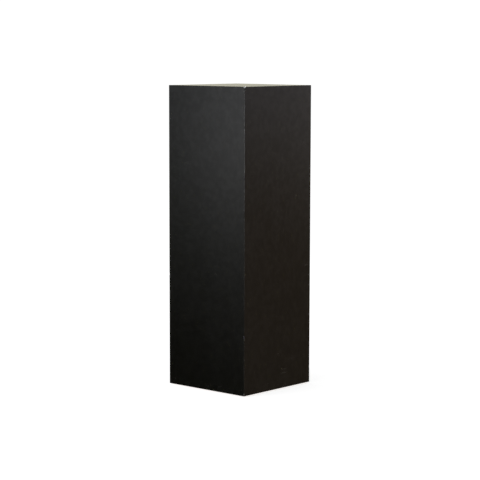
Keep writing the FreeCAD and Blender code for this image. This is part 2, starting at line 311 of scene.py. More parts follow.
def select_faces(mesh: bmesh.types.BMesh, wanted: Callable[[Vector, Vector], bool]) -> None:
    """Select the faces that a test picks, and no others.

    Args:
        mesh: A live edit mesh.
        wanted: A test of a face's centre and normal.
    """
    for face in mesh.faces:
        face.select_set(wanted(face.calc_center_median(), face.normal))
    mesh.select_flush_mode()


def select_edges(mesh: bmesh.types.BMesh, wanted: Callable[[Vector, Vector], bool]) -> None:
    """Select the edges that a test picks, and no others.

    Args:
        mesh: A live edit mesh.
        wanted: A test of an edge's two ends.
    """
    bpy.ops.mesh.select_mode(type="EDGE")
    for edge in mesh.edges:
        edge.select_set(wanted(edge.verts[0].co, edge.verts[1].co))


def slice_off(piece: Piece, point: Vector, outward: Vector) -> None:
    """Saw a piece along a plane and drop what lies beyond it.

    Args:
        piece: The object to saw.
        point: A point on the plane.
        outward: The plane's normal, towards the side that is dropped.
    """
    with editing(piece):
        bpy.ops.mesh.select_all(action="SELECT")
        bpy.ops.mesh.bisect(plane_co=point, plane_no=outward, use_fill=True, clear_outer=True)


def carve(piece: Piece, cutter: Piece, own_finish: bool = False) -> None:
    """Cut one piece out of another.

    Args:
        piece: The object that is cut.
        cutter: The closed object whose space is taken away.
        own_finish: Whether the cut faces take the piece's finish and not the cutter's.
    """
    finish = "INDEX" if own_finish else "TRANSFER"
    apply_modifier(
        piece, "BOOLEAN", operation="DIFFERENCE", solver="EXACT", object=cutter, material_mode=finish
    )


def clear_slivers(piece: Piece) -> None:
    """Melt away the edges and faces of no size that cutting leaves.

    Args:
        piece: The object to clean.
    """
    with editing(piece):
        bpy.ops.mesh.select_all(action="SELECT")
        bpy.ops.mesh.dissolve_degenerate(threshold=WELD)


def copy_at(piece: Piece, name: str, place: Matrix) -> Piece:
    """Copy a piece with a mesh of its own, moved and turned in its mesh.

    Args:
        piece: The object to copy.
        name: The copy's name.
        place: Where the copy goes.

    Returns:
        The copy, at the origin.
    """
    twin = bpy.data.objects.new(name, piece.data.copy())
    twin.data.name = name
    bpy.context.scene.collection.objects.link(twin)
    twin.data.transform(place)
    return twin


def join(name: str, pieces: Sequence[Piece]) -> Piece:
    """Join pieces into one object.

    Args:
        name: The joined object's name.
        pieces: The objects to join.

    Returns:
        The joined object.
    """
    only(*pieces)
    if len(pieces) > 1:
        bpy.ops.object.join()
    return name_piece(bpy.context.object, name)


def repeat(master: Piece, name: str, places: Sequence[Matrix]) -> Piece:
    """Set a copy of a master in every place and join the copies.

    Args:
        master: The piece to copy.
        name: The name of the joined copies.
        places: Where the copies go.

    Returns:
        The copies as one object.
    """
    return join(name, [copy_at(master, "copy", place) for place in places])


def turns(count: int) -> list[Matrix]:
    """Spread places evenly round Z."""
    return [Matrix.Rotation(math.tau * number / count, 4, "Z") for number in range(count)]


def place_along(point: Vector, towards: Vector, spin: float) -> Matrix:
    """Build the place of a piece whose own Z points somewhere.

    Args:
        point: Where the piece's origin goes.
        towards: Where its Z points.
        spin: How far it is turned about its Z.

    Returns:
        The piece's place.
    """
    turned = towards.to_track_quat("Z", "Y").to_matrix().to_4x4()
    return Matrix.Translation(point) @ turned @ Matrix.Rotation(spin, 4, "Z")


@dataclass(frozen=True)
class Solid:
    """One closed solid of a CAD node, known by its points."""

    points: tuple[Vector, ...]

    @property
    def low(self) -> Vector:
        """Its lowest corner."""
        return Vector([min(point[axis] for point in self.points) for axis in range(3)])

    @property
    def high(self) -> Vector:
        """Its highest corner."""
        return Vector([max(point[axis] for point in self.points) for axis in range(3)])

    @property
    def centre(self) -> Vector:
        """The middle of its box."""
        return (self.low + self.high) / 2

    def head(self) -> tuple[Vector, Vector]:
        """Find the wider end of a long turned solid.

        Returns:
            The middle of that end, and the direction that it faces.
        """
        size = self.high - self.low
        axis = max(range(3), key=lambda number: size[number])
        centre = self.centre
        across = [point - centre for point in self.points]
        radii = [math.hypot(*(offset[other] for other in range(3) if other != axis)) for offset in across]
        widest = max(radii)
        lean = sum(offset[axis] for offset, radius in zip(across, radii) if radius > 0.95 * widest)
        direction = Vector([math.copysign(1.0, lean) if number == axis else 0.0 for number in range(3)])
        return centre + direction * size[axis] / 2, direction


def solids(node: str) -> list[Solid]:
    """Split a CAD node into its closed solids.

    Args:
        node: The CAD node.

    Returns:
        Its solids, in a steady order.
    """
    mesh = bmesh.new()
    mesh.from_mesh(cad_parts[node].data)
    bmesh.ops.remove_doubles(mesh, verts=mesh.verts, dist=WELD)
    left = set(mesh.verts)
    found = []
    while left:
        patch, queue = [], [left.pop()]
        while queue:
            corner = queue.pop()
            patch.append(corner.co.copy())
            near = {edge.other_vert(corner) for edge in corner.link_edges} & left
            left -= near
            queue.extend(near)
        found.append(Solid(tuple(patch)))
    mesh.free()
    return sorted(found, key=lambda solid: tuple(round(value, 5) for value in solid.centre))


def smooth(piece: Piece, angle: float = SMOOTH_BELOW) -> None:
    """Shade a piece smooth across its gentle edges.

    Args:
        piece: The object to shade.
        angle: The sharpest edge, in degrees, that is shaded smooth.
    """
    only(piece)
    bpy.ops.object.shade_smooth_by_angle(angle=math.radians(angle))


def weigh_normals(piece: Piece) -> None:
    """Let a piece's large faces stay flat next to its rounded edges.

    Args:
        piece: The smooth-shaded object.
    """
    apply_modifier(piece, "WEIGHTED_NORMAL", keep_sharp=True, weight=100)


def hang(piece: Piece, body: str, node: str) -> None:
    """Put a finished piece on its body, in place of the CAD node that it stands for.

    Args:
        piece: The finished object.
        body: The body that it rides on.
        node: The CAD node that it replaces.
    """
    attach(piece, body)
    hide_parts(node)
    log.info("%s rides on %s with %d faces", piece.name, body, len(piece.data.polygons))


# ------------------------------------------------------------------ node building


@dataclass(frozen=True)
class Noise:
    """A soft noise: its scale, its octaves, how strong the fine ones are and its stretch by axis."""

    scale: float
    detail: float = 3.0
    roughness: float = 0.5
    stretch: tuple[float, float, float] | None = None


class Graph:
    """A short way to place and wire shader nodes in a material or a group."""

    def __init__(self, tree: bpy.types.NodeTree) -> None:
        """Start on an empty tree.

        Args:
            tree: The tree to build in.
        """
        self.tree = tree
        tree.nodes.clear()

    def add(self, kind: str, settings: dict | None = None, **inputs: object) -> bpy.types.Node:
        """Add a node, set its properties and fill its inputs.

        Args:
            kind: The node's type name without the ShaderNode prefix.
            settings: Node properties to set.
            **inputs: Inputs by name, underscores for spaces.

        Returns:
            The new node.
        """
        node = self.tree.nodes.new(f"ShaderNode{kind}")
        for name, value in (settings or {}).items():
            setattr(node, name, value)
        self.fill(node, **inputs)
        return node

    def fill(self, node: bpy.types.Node, **inputs: object) -> None:
        """Fill a node's inputs by name.

        Args:
            node: The node.
            **inputs: Inputs by name, underscores for spaces.
        """
        for name, value in inputs.items():
            self.feed(node.inputs[name.replace("_", " ")], value)

    def feed(self, socket: Socket, value: object) -> None:
        """Link a socket into another, or set its value.

        Args:
            socket: The input to fill.
            value: An output socket, or a plain value. A colour has three numbers.
        """
        if isinstance(value, bpy.types.NodeSocket):
            self.tree.links.new(value, socket)
        else:
            socket.default_value = (*value, 1.0) if socket.type == "RGBA" else value

    def math(self, operation: str, first: object, second: object = 0.0, clamp: bool = False) -> Socket:
        """Combine two numbers.

        Args:
            operation: The Math node's operation.
            first: The first number or socket.
            second: The second number or socket.
            clamp: Whether the result stays between 0 and 1.

        Returns:
            The result.
        """
        node = self.add("Math", {"operation": operation, "use_clamp": clamp})
        self.feed(node.inputs[0], first)
        self.feed(node.inputs[1], second)
        return node.outputs[0]

    def plus(self, first: object, second: object) -> Socket:
        """Add two numbers."""
        return self.math("ADD", first, second)

    def minus(self, first: object, second: object) -> Socket:
        """Take one number from another."""
        return self.math("SUBTRACT", first, second)

    def times(self, first: object, second: object) -> Socket:
        """Multiply two numbers."""
        return self.math("MULTIPLY", first, second)

    def vector(self, operation: str, first: object, second: object = (0.0, 0.0, 0.0)) -> bpy.types.Node:
        """Combine two vectors.

        Args:
            operation: The Vector Math node's operation.
            first: The first vector or socket.
            second: The second vector or socket.

        Returns:
            The node, whose first output is a vector and whose second is a number.
        """
        node = self.add("VectorMath", {"operation": operation})
        self.feed(node.inputs[0], first)
        self.feed(node.inputs[1], second)
        return node

    def parts(self, vector: Socket) -> bpy.types.NodeOutputs:
        """Split a vector into its X, Y and Z."""
        return self.add("SeparateXYZ", Vector=vector).outputs

    def ramp(self, value: object, low: object, high: object, start: float = 0.0, end: float = 1.0) -> Socket:
        """Ease a number from one range to another.

        Args:
            value: The number or socket to ease.
            low: Where the ease starts.
            high: Where the ease ends.
            start: The result at low.
            end: The result at high.

        Returns:
            The eased number.
        """
        node = self.add("MapRange", {"interpolation_type": "SMOOTHSTEP"}, Value=value)
        self.fill(node, From_Min=low, From_Max=high, To_Min=start, To_Max=end)
        return node.outputs["Result"]

    def noise(self, place: Socket, kind: Noise, scale: object = None) -> Socket:
        """Sample a soft noise at a place.

        Args:
            place: The coordinates.
            kind: The noise.
            scale: A scale to use in place of the noise's own.

        Returns:
            A number near 0.5.
        """
        if kind.stretch:
            place = self.add("Mapping", Vector=place, Scale=kind.stretch).outputs[0]
        scale = kind.scale if scale is None else scale
        node = self.add("TexNoise", Vector=place, Scale=scale, Detail=kind.detail, Roughness=kind.roughness)
        return node.outputs["Fac"]

    def mix(self, factor: object, first: object, second: object) -> Socket:
        """Blend two colours.

        Args:
            factor: How much of the second colour shows.
            first: A colour or socket.
            second: A colour or socket.

        Returns:
            The blended colour.
        """
        node = self.add("Mix", {"data_type": "RGBA", "clamp_factor": True})
        for number, value in ((0, factor), (6, first), (7, second)):
            self.feed(node.inputs[number], value)
        return node.outputs[2]

    def blend(self, first: Socket, second: Socket, share: float) -> Socket:
        """Add two numbers, the first by a share and the second by the rest.

        Args:
            first: The first number.
            second: The second number.
            share: The first number's share.

        Returns:
            The weighed sum.
        """
        return self.plus(self.times(first, share), self.times(second, 1.0 - share))


class SocketKind(Enum):
    """The kinds of socket that an effect group has."""

    NUMBER = "NodeSocketFloat"
    VECTOR = "NodeSocketVector"

    @classmethod
    def of(cls, value: object) -> "SocketKind":
        """Tell the kind of socket that holds a value."""
        return cls.VECTOR if isinstance(value, tuple) else cls.NUMBER


class Effect:
    """A shader node group with named inputs and outputs, built once and shared."""

    title = "effect"
    inputs: dict[str, object] = {}
    outputs: tuple[str, ...] = ()

    @classmethod
    def group(cls) -> bpy.types.NodeTree:
        """Find or build the effect's group.

        Returns:
            The node group.
        """
        found = bpy.data.node_groups.get(cls.title)
        if found:
            return found
        tree = bpy.data.node_groups.new(cls.title, "ShaderNodeTree")
        for name, value in cls.inputs.items():
            kind = SocketKind.of(value).value
            tree.interface.new_socket(name, in_out="INPUT", socket_type=kind).default_value = value
        for name in cls.outputs:
            tree.interface.new_socket(name, in_out="OUTPUT", socket_type=SocketKind.NUMBER.value)
        graph = Graph(tree)
        source = tree.nodes.new("NodeGroupInput")
        sink = tree.nodes.new("NodeGroupOutput")
        for name, socket in cls.wire(graph, source.outputs).items():
            tree.links.new(socket, sink.inputs[name])
        return tree

    @classmethod
    def wire(cls, graph: Graph, given: bpy.types.NodeOutputs) -> dict[str, Socket]:
        """Build what is inside the group.

        Args:
            graph: The group's graph.
            given: The group's inputs.

        Returns:
            The socket that feeds each output.
        """
        raise NotImplementedError

    @classmethod
    def place(cls, graph: Graph, **inputs: object) -> bpy.types.NodeOutputs:
        """Put the effect in a material.

        Args:
            graph: The material's graph.
            **inputs: The group's inputs by name, underscores for spaces.

        Returns:
            The group's outputs.
        """
        node = graph.add("Group", {"node_tree": cls.group()})
        graph.fill(node, **inputs)
        return node.outputs


class EdgeDistance(Effect):
    """How far a place is from the nearest outer arris of the plinth."""

    title = "edge distance"
    inputs = {
        "Vector": (0.0, 0.0, 0.0),
        "Half Width": 0.15,
        "Half Depth": 0.15,
        "Top": 0.9,
    }
    outputs = ("Nearest",)

    @classmethod
    def wire(cls, graph: Graph, given: bpy.types.NodeOutputs) -> dict[str, Socket]:
        """Measure to the upright edges and to the top edges.

        Args:
            graph: The group's graph.
            given: The group's inputs.

        Returns:
            The socket that feeds each output.
        """
        x, y, z = graph.parts(given["Vector"])
        gaps = [
            graph.math("ABSOLUTE", graph.minus(given[limit], part))
            for limit, part in (
                ("Half Width", graph.math("ABSOLUTE", x)),
                ("Half Depth", graph.math("ABSOLUTE", y)),
                ("Top", z),
            )
        ]
        upright = graph.plus(gaps[0], gaps[1])
        top_edge = graph.plus(graph.math("MINIMUM", gaps[0], gaps[1]), gaps[2])
        return {"Nearest": graph.math("MINIMUM", upright, top_edge)}


class RubMark(Effect):
    """A soft scuff of broken streaks round one place on a face."""

    title = "rub mark"
    inputs = {
        "Vector": (0.0, 0.0, 0.0),
        "Centre": (0.0, 0.0, 0.0),
        "Half Size": (0.01, 0.01, 0.01),
        "Streaks": 0.5,
    }
    outputs = ("Mask",)
    rim = Noise(260.0, 4.0, 0.6)
    rim_wander = 0.9
    fade = (1.0, 0.35)
    scratches = Noise(1.0, 2.0, stretch=(260.0, 260.0, 1500.0))
    scratch_start = 0.9
    scratch_end = 0.62

    @classmethod
    def wire(cls, graph: Graph, given: bpy.types.NodeOutputs) -> dict[str, Socket]:
        """Fade an ellipsoid's inside into streaks.

        Args:
            graph: The group's graph.
            given: The group's inputs.

        Returns:
            The socket that feeds each output.
        """
        away = graph.vector("SUBTRACT", given["Vector"], given["Centre"]).outputs[0]
        scaled = graph.vector("DIVIDE", away, given["Half Size"]).outputs[0]
        wander = graph.times(graph.noise(given["Vector"], cls.rim), cls.rim_wander)
        reach = graph.plus(graph.vector("LENGTH", scaled).outputs[1], graph.minus(wander, cls.rim_wander / 2))
        inside = graph.ramp(reach, *cls.fade)
        lines = graph.noise(given["Vector"], cls.scratches)
        streaks = graph.ramp(lines, graph.times(given["Streaks"], cls.scratch_start), cls.scratch_end)
        return {"Mask": graph.times(inside, streaks)}


class RollerStipple(Effect):
    """The low orange-peel texture that a foam roller leaves in paint."""

    title = "roller stipple"
    inputs = {"Vector": (0.0, 0.0, 0.0), "Grain": 0.0022}
    outputs = ("Height", "Sheen")
    peel = Noise(1.0, 2.0, 0.45)
    coarse = Noise(0.21, 2.0, 0.5)
    peel_share = 0.7
    drift = Noise(1.0, 3.0, 0.55, stretch=(9.0, 9.0, 2.6))
    patches = Noise(17.0, 4.0, 0.6)
    drift_share = 0.6

    @classmethod
    def wire(cls, graph: Graph, given: bpy.types.NodeOutputs) -> dict[str, Socket]:
        """Lay fine peel over broad drifts of film thickness.

        Args:
            graph: The group's graph.
            given: The group's inputs.

        Returns:
            The socket that feeds each output.
        """
        place = given["Vector"]
        scale = graph.math("DIVIDE", 1.0, given["Grain"])
        peel = graph.noise(place, cls.peel, scale)
        coarse = graph.noise(place, cls.coarse, graph.times(scale, cls.coarse.scale))
        drift, patches = graph.noise(place, cls.drift), graph.noise(place, cls.patches)
        return {
            "Height": graph.blend(peel, coarse, cls.peel_share),
            "Sheen": graph.blend(drift, patches, cls.drift_share),
        }


class Dust(Effect):
    """Specks and a thin film that settle on what faces up."""

    title = "settled dust"
    inputs = {"Vector": (0.0, 0.0, 0.0), "Amount": 0.5}
    outputs = ("Mask",)
    level = (0.75, 0.98)
    speck_scale = 420.0
    speck = (0.13, 0.04)
    sparse = Noise(90.0, 2.0)
    sparse_span = (0.52, 0.6)
    cloud = Noise(14.0, 5.0, 0.65)
    cloud_span = (0.42, 0.7)
    cloud_share = 0.35

    @classmethod
    def wire(cls, graph: Graph, given: bpy.types.NodeOutputs) -> dict[str, Socket]:
        """Scatter small cells and a cloud, kept to level faces.

        Args:
            graph: The group's graph.
            given: The group's inputs.

        Returns:
            The socket that feeds each output.
        """
        place = given["Vector"]
        level = graph.ramp(graph.parts(graph.add("NewGeometry").outputs["Normal"])[2], *cls.level)
        cells = graph.add("TexVoronoi", {"feature": "F1"}, Vector=place, Scale=cls.speck_scale)
        near = graph.ramp(cells.outputs["Distance"], *cls.speck)
        specks = graph.times(near, graph.ramp(graph.noise(place, cls.sparse), *cls.sparse_span))
        cloud = graph.times(graph.ramp(graph.noise(place, cls.cloud), *cls.cloud_span), cls.cloud_share)
        film = graph.times(graph.plus(specks, cloud), level)
        return {"Mask": graph.math("MULTIPLY", film, given["Amount"], clamp=True)}


class WoodGrain(Effect):
    """Growth rings and pores drawn out along one axis."""

    title = "wood grain"
    inputs = {"Vector": (0.0, 0.0, 0.0), "Stretch": (1.0, 1.0, 0.06), "Ring Scale": 60.0}
    outputs = ("Rings", "Pores")
    wander = Noise(22.0)
    wander_reach = 6.0
    pores = Noise(900.0, 2.0, 0.7)

    @classmethod
    def wire(cls, graph: Graph, given: bpy.types.NodeOutputs) -> dict[str, Socket]:
        """Bend ring bands with noise, and add fine pores.

        Args:
            graph: The group's graph.
            given: The group's inputs.

        Returns:
            The socket that feeds each output.
        """
        along = graph.vector("MULTIPLY", given["Vector"], given["Stretch"]).outputs[0]
        wander = graph.times(graph.noise(along, cls.wander), cls.wander_reach)
        rings = {"wave_type": "RINGS", "rings_direction": "SPHERICAL"}
        bands = graph.add("TexWave", rings, Vector=along, Scale=given["Ring Scale"], Phase_Offset=wander)
        return {"Rings": bands.outputs["Fac"], "Pores": graph.noise(along, cls.pores)}


# ------------------------------------------------------------------ finishes


def blank_material(title: str) -> tuple[bpy.types.Material, Graph]:
    """Start a material with no nodes.

    Args:
        title: The material's name.

    Returns:
        The material and its graph.
    """
    made = bpy.data.materials.new(title)
    made.use_nodes = True
    return made, Graph(made.node_tree)


@dataclass(frozen=True)
class Finish:
    """A material made of a shader and the effects that vary it."""

    title: str

    def material(self) -> bpy.types.Material:
        """Find or build the material.

        Returns:
            The finish's material.
        """
        found = bpy.data.materials.get(self.title)
        if found:
            return found
        made, graph = blank_material(self.title)
        shader = graph.add("BsdfPrincipled")
        graph.add("OutputMaterial", Surface=shader.outputs[0])
        self.wire(graph, shader, graph.add("TexCoord").outputs["Object"])
        return made

    def wire(self, graph: Graph, shader: bpy.types.Node, place: Socket) -> None:
        """Fill the shader's sockets.

        Args:
            graph: The material's graph.
            shader: Its Principled shader.
            place: Object coordinates.
        """
        raise NotImplementedError

    @staticmethod
    def lay(
        graph: Graph, shader: bpy.types.Node, colour: Socket, rough: Socket, height: Socket, relief: float
    ) -> None:
        """Feed what varies over the surface to the shader.

        Args:
            graph: The material's graph.
            shader: Its Principled shader.
            colour: The base colour.
            rough: The roughness.
            height: The surface's height, from 0 to 1.
            relief: How far that height reaches, in metres.
        """
        bump = graph.add("Bump", Height=height, Distance=relief)
        graph.fill(shader, Base_Color=colour, Roughness=rough, Normal=bump.outputs[0])


@dataclass(frozen=True)
class Rub:
    """One scuff on the paint: its middle, its half size, how broken it is and how strong."""

    centre: tuple[float, float, float]
    half_size: tuple[float, float, float]
    streaks: float
    strength: float


@dataclass(frozen=True)
class SatinBlack(Finish):
    """Rolled satin black paint with handling marks, thin edges and dust."""

    title: str = "satin black paint"
    colour: Colour = (0.0032, 0.0031, 0.0012)
    smeared: Colour = (0.0048, 0.0047, 0.0019)
    smears: Noise = Noise(46.0, 4.0, 0.62, stretch=(1.0, 1.0, 0.6))
    smear_span: Span = (0.4, 0.62)
    polish: float = 0.17
    polish_roughness: float = 0.3
    handling: Noise = Noise(70.0, 4.0, 0.68)
    handling_span: Span = (0.42, 0.6)
    worn_colour: Colour = (0.055, 0.052, 0.040)
    dust_colour: Colour = (0.16, 0.15, 0.135)
    dust: float = 0.22
    roughness: float = 0.22
    roughness_drift: float = 0.12
    dulling: float = 0.25
    index: float = 1.475
    relief: float = 0.000008
    breaks: Noise = Noise(130.0, 5.0, 0.65)
    edge_wander: float = 0.0024
    edge_span: Span = (0.0012, -0.0004)
    edge_wear: float = 0.08
    kick_height: Span = (0.055, 0.004)
    kick_breaks: Span = (0.56, 0.7)
    kick_wear: float = 0.25
    rubs: tuple[Rub, ...] = (
        Rub((0.150, 0.0280, 0.0590), (0.006, 0.0190, 0.0026), 0.15, 0.34),
        Rub((0.150, 0.0270, 0.0480), (0.006, 0.0180, 0.0026), 0.15, 0.40),
        Rub((0.150, 0.0040, 0.1090), (0.006, 0.0110, 0.0022), 0.2, 0.20),
        Rub((0.150, -0.127, 0.8675), (0.006, 0.0070, 0.0022), 0.4, 0.25),
        Rub((0.150, 0.0580, 0.0860), (0.006, 0.0300, 0.0060), 0.8, 0.12),
        Rub((0.150, 0.0790, 0.5753), (0.006, 0.0030, 0.0110), 0.1, 0.20),
        Rub((0.150, 0.0930, 0.5735), (0.006, 0.0030, 0.0090), 0.1, 0.16),
        Rub((0.150, 0.1300, 0.3620), (0.006, 0.0130, 0.0032), 0.2, 0.36),
        Rub((0.150, 0.1200, 0.7300), (0.006, 0.0110, 0.0028), 0.2, 0.22),
        Rub((-0.078, -0.150, 0.6720), (0.0190, 0.006, 0.0032), 0.2, 0.24),
        Rub((-0.092, -0.150, 0.6920), (0.0130, 0.006, 0.0028), 0.2, 0.20),
        Rub((0.050, -0.150, 0.8660), (0.0060, 0.006, 0.0036), 0.1, 0.24),
        Rub((0.038, -0.150, 0.3520), (0.0100, 0.006, 0.0045), 0.3, 0.18),
        Rub((-0.150, 0.030, 0.120), (0.006, 0.0400, 0.0022), 0.6, 0.30),
        Rub((-0.150, -0.075, 0.046), (0.006, 0.0180, 0.0018), 0.5, 0.30),
        Rub((0.040, 0.150, 0.052), (0.035, 0.0060, 0.0020), 0.5, 0.30),
        Rub((-0.085, 0.150, 0.470), (0.022, 0.0060, 0.0016), 0.6, 0.25),
    )

    def wire(self, graph: Graph, shader: bpy.types.Node, place: Socket) -> None:
        """Fill the shader's sockets.

        Args:
            graph: The material's graph.
            shader: Its Principled shader.
            place: Object coordinates.
        """
        film = RollerStipple.place(graph, Vector=place)
        worn = self.wear(graph, place)
        dust = Dust.place(graph, Vector=place, Amount=self.dust)["Mask"]
        smears = graph.ramp(graph.noise(place, self.smears), *self.smear_span)
        clean = graph.mix(smears, self.colour, self.smeared)
        painted = graph.mix(worn, clean, self.worn_colour)
        drift = graph.times(graph.minus(film["Sheen"], 0.5), self.roughness_drift)
        dulled = graph.times(graph.math("MAXIMUM", worn, dust), self.dulling)
        roughness = graph.plus(graph.plus(drift, self.roughness), dulled)
        handled = graph.ramp(graph.noise(place, self.handling), *self.handling_span)
        graph.fill(shader, IOR=self.index, Coat_Roughness=self.polish_roughness)
        graph.fill(shader, Coat_Weight=graph.times(handled, self.polish))
        colour = graph.mix(dust, painted, self.dust_colour)
        self.lay(graph, shader, colour, roughness, film["Height"], self.relief)

    def wear(self, graph: Graph, place: Socket) -> Socket:
        """Find how worn the paint is along its edges, at its foot and in its scuffs.

        Args:
            graph: The material's graph.
            place: Object coordinates.

        Returns:
            The wear, from 0 to 1.
        """
        high = Vector(CAD_BOX[1])
        edge = EdgeDistance.place(graph, Vector=place, Half_Width=high.x, Half_Depth=high.y, Top=high.z)
        breaks = graph.noise(place, self.breaks)
        near = graph.minus(edge["Nearest"], graph.times(breaks, self.edge_wander))
        thin = graph.times(graph.ramp(near, *self.edge_span), self.edge_wear)
        low = graph.ramp(graph.parts(place)[2], *self.kick_height)
        kicked = graph.times(graph.times(low, graph.ramp(breaks, *self.kick_breaks)), self.kick_wear)
        worn = graph.math("MAXIMUM", thin, kicked)
        for rub in self.rubs:
            mark = RubMark.place(
                graph, Vector=place, Centre=rub.centre, Half_Size=rub.half_size, Streaks=rub.streaks
            )
            worn = graph.math("MAXIMUM", worn, graph.times(mark["Mask"], rub.strength))
        return worn


@dataclass(frozen=True)
class BareBoard(Finish):
    """Raw fibreboard: fine pressed fibres in pale and dark clouds."""

    title: str = "raw fibreboard"
    colour: Colour = (0.46, 0.30, 0.165)
    dark: Colour = (0.33, 0.205, 0.105)
    fibre: Noise = Noise(1.0, 4.0, 0.7, stretch=(900.0, 900.0, 520.0))
    cloud: Noise = Noise(24.0, 4.0, 0.6)
    fibre_share: float = 0.55
    shade_span: Span = (0.36, 0.62)
    fibre_span: Span = (0.3, 0.7)
    roughness: Span = (0.92, 0.72)
    relief: float = 0.00008

    def wire(self, graph: Graph, shader: bpy.types.Node, place: Socket) -> None:
        """Fill the shader's sockets.

        Args:
            graph: The material's graph.
            shader: Its Principled shader.
            place: Object coordinates.
        """
        fibre, cloud = graph.noise(place, self.fibre), graph.noise(place, self.cloud)
        shade = graph.ramp(graph.blend(fibre, cloud, self.fibre_share), *self.shade_span)
        rough = graph.ramp(fibre, *self.fibre_span, *self.roughness)
        self.lay(graph, shader, graph.mix(shade, self.dark, self.colour), rough, fibre, self.relief)


@dataclass(frozen=True)
class ChippedEdge(Finish):
    """Undercoat and torn fibre where the paint is knocked off."""

    title: str = "rubbed undercoat"
    primer: Colour = (0.072, 0.067, 0.086)
    torn: Colour = (0.038, 0.034, 0.032)
    tear: Noise = Noise(700.0, 4.0, 0.65)
    torn_span: Span = (0.45, 0.62)
    rough_span: Span = (0.3, 0.7)
    roughness: Span = (0.5, 0.8)
    relief: float = 0.0002

    def wire(self, graph: Graph, shader: bpy.types.Node, place: Socket) -> None:
        """Fill the shader's sockets.

        Args:
            graph: The material's graph.
            shader: Its Principled shader.
            place: Object coordinates.
        """
        tear = graph.noise(place, self.tear)
        colour = graph.mix(graph.ramp(tear, *self.torn_span), self.primer, self.torn)
        rough = graph.ramp(tear, *self.rough_span, *self.roughness)
        self.lay(graph, shader, colour, rough, tear, self.relief)


@dataclass(frozen=True)
class Timber(Finish):
    """Planed wood with rings drawn out along one axis."""

    title: str = "pine"
    early: Colour = (0.62, 0.43, 0.22)
    late: Colour = (0.40, 0.22, 0.09)
    stretch: tuple[float, float, float] = (1.0, 1.0, 0.04)
    ring_scale: float = 55.0
    ring_span: Span = (0.55, 0.95)
    ring_share: float = 0.7
    pore_span: Span = (0.5, 0.72)
    pore_share: float = 0.25
    roughness: Span = (0.58, 0.73)
    relief: float = 0.00006

    @classmethod
    def along(cls, axis: int) -> "Timber":
        """Lay the grain along an axis.

        Args:
            axis: The number of the axis.

        Returns:
            The finish for that axis.
        """
        stretch = tuple(0.04 if number == axis else 1.0 for number in range(3))
        return cls(title=f"pine along {'xyz'[axis]}", stretch=stretch)

    def wire(self, graph: Graph, shader: bpy.types.Node, place: Socket) -> None:
        """Fill the shader's sockets.

        Args:
            graph: The material's graph.
            shader: Its Principled shader.
            place: Object coordinates.
        """
        grain = WoodGrain.place(graph, Vector=place, Stretch=self.stretch, Ring_Scale=self.ring_scale)
        rings = graph.times(graph.ramp(grain["Rings"], *self.ring_span), self.ring_share)
        pores = graph.times(graph.ramp(grain["Pores"], *self.pore_span), self.pore_share)
        shade = graph.math("ADD", rings, pores, clamp=True)
        rough = graph.ramp(shade, 0.0, 1.0, *self.roughness)
        self.lay(graph, shader, graph.mix(shade, self.early, self.late), rough, grain["Pores"], self.relief)


@dataclass(frozen=True)
class PressedBeech(Finish):
    """Compressed beech with a stamped lattice and short grain."""

    title: str = "pressed beech"
    colour: Colour = (0.52, 0.33, 0.18)
    dark: Colour = (0.36, 0.21, 0.11)
    stretch: tuple[float, float, float] = (1.0, 1.0, 0.3)
    ring_scale: float = 120.0
    ring_share: float = 0.5
    lattice: float = 420.0
    line_span: Span = (0.75, 0.98)
    line_share: float = 0.4
    pore_span: Span = (0.3, 0.7)
    roughness: Span = (0.56, 0.76)
    relief: float = 0.00012

    def wire(self, graph: Graph, shader: bpy.types.Node, place: Socket) -> None:
        """Fill the shader's sockets.

        Args:
            graph: The material's graph.
            shader: Its Principled shader.
            place: Object coordinates.
        """
        grain = WoodGrain.place(graph, Vector=place, Stretch=self.stretch, Ring_Scale=self.ring_scale)
        x, y, z = graph.parts(place)
        level = graph.plus(x, y)
        lines = []
        for sign in ("ADD", "SUBTRACT"):
            slope = graph.times(graph.math(sign, level, z), self.lattice * math.tau)
            lines.append(graph.ramp(graph.math("SINE", slope), *self.line_span))
        stamped = graph.math("MAXIMUM", *lines)
        rings = graph.times(grain["Rings"], self.ring_share)
        shade = graph.plus(rings, graph.times(stamped, self.line_share))
        rough = graph.ramp(grain["Pores"], *self.pore_span, *self.roughness)
        colour = graph.mix(shade, self.colour, self.dark)
        self.lay(graph, shader, colour, rough, graph.minus(1.0, stamped), self.relief)


@dataclass(frozen=True)
class ZincPlate(Finish):
    """Bright zinc plate, cloudy and faintly blue, with darker handled patches."""

    title: str = "zinc plate"
    colour: Colour = (0.60, 0.62, 0.66)
    dull: Colour = (0.38, 0.38, 0.37)
    cloud: Noise = Noise(320.0, 4.0, 0.6)
    cloud_span: Span = (0.4, 0.68)
    fine: Noise = Noise(2600.0, 2.0, 0.5)
    roughness: Span = (0.3, 0.5)
    relief: float = 0.00001

    def wire(self, graph: Graph, shader: bpy.types.Node, place: Socket) -> None:
        """Fill the shader's sockets.

        Args:
            graph: The material's graph.
            shader: Its Principled shader.
            place: Object coordinates.
        """
        cloud = graph.ramp(graph.noise(place, self.cloud), *self.cloud_span)
        rough = graph.ramp(cloud, 0.0, 1.0, *self.roughness)
        colour = graph.mix(cloud, self.colour, self.dull)
        self.lay(graph, shader, colour, rough, graph.noise(place, self.fine), self.relief)
        graph.fill(shader, Metallic=1.0)


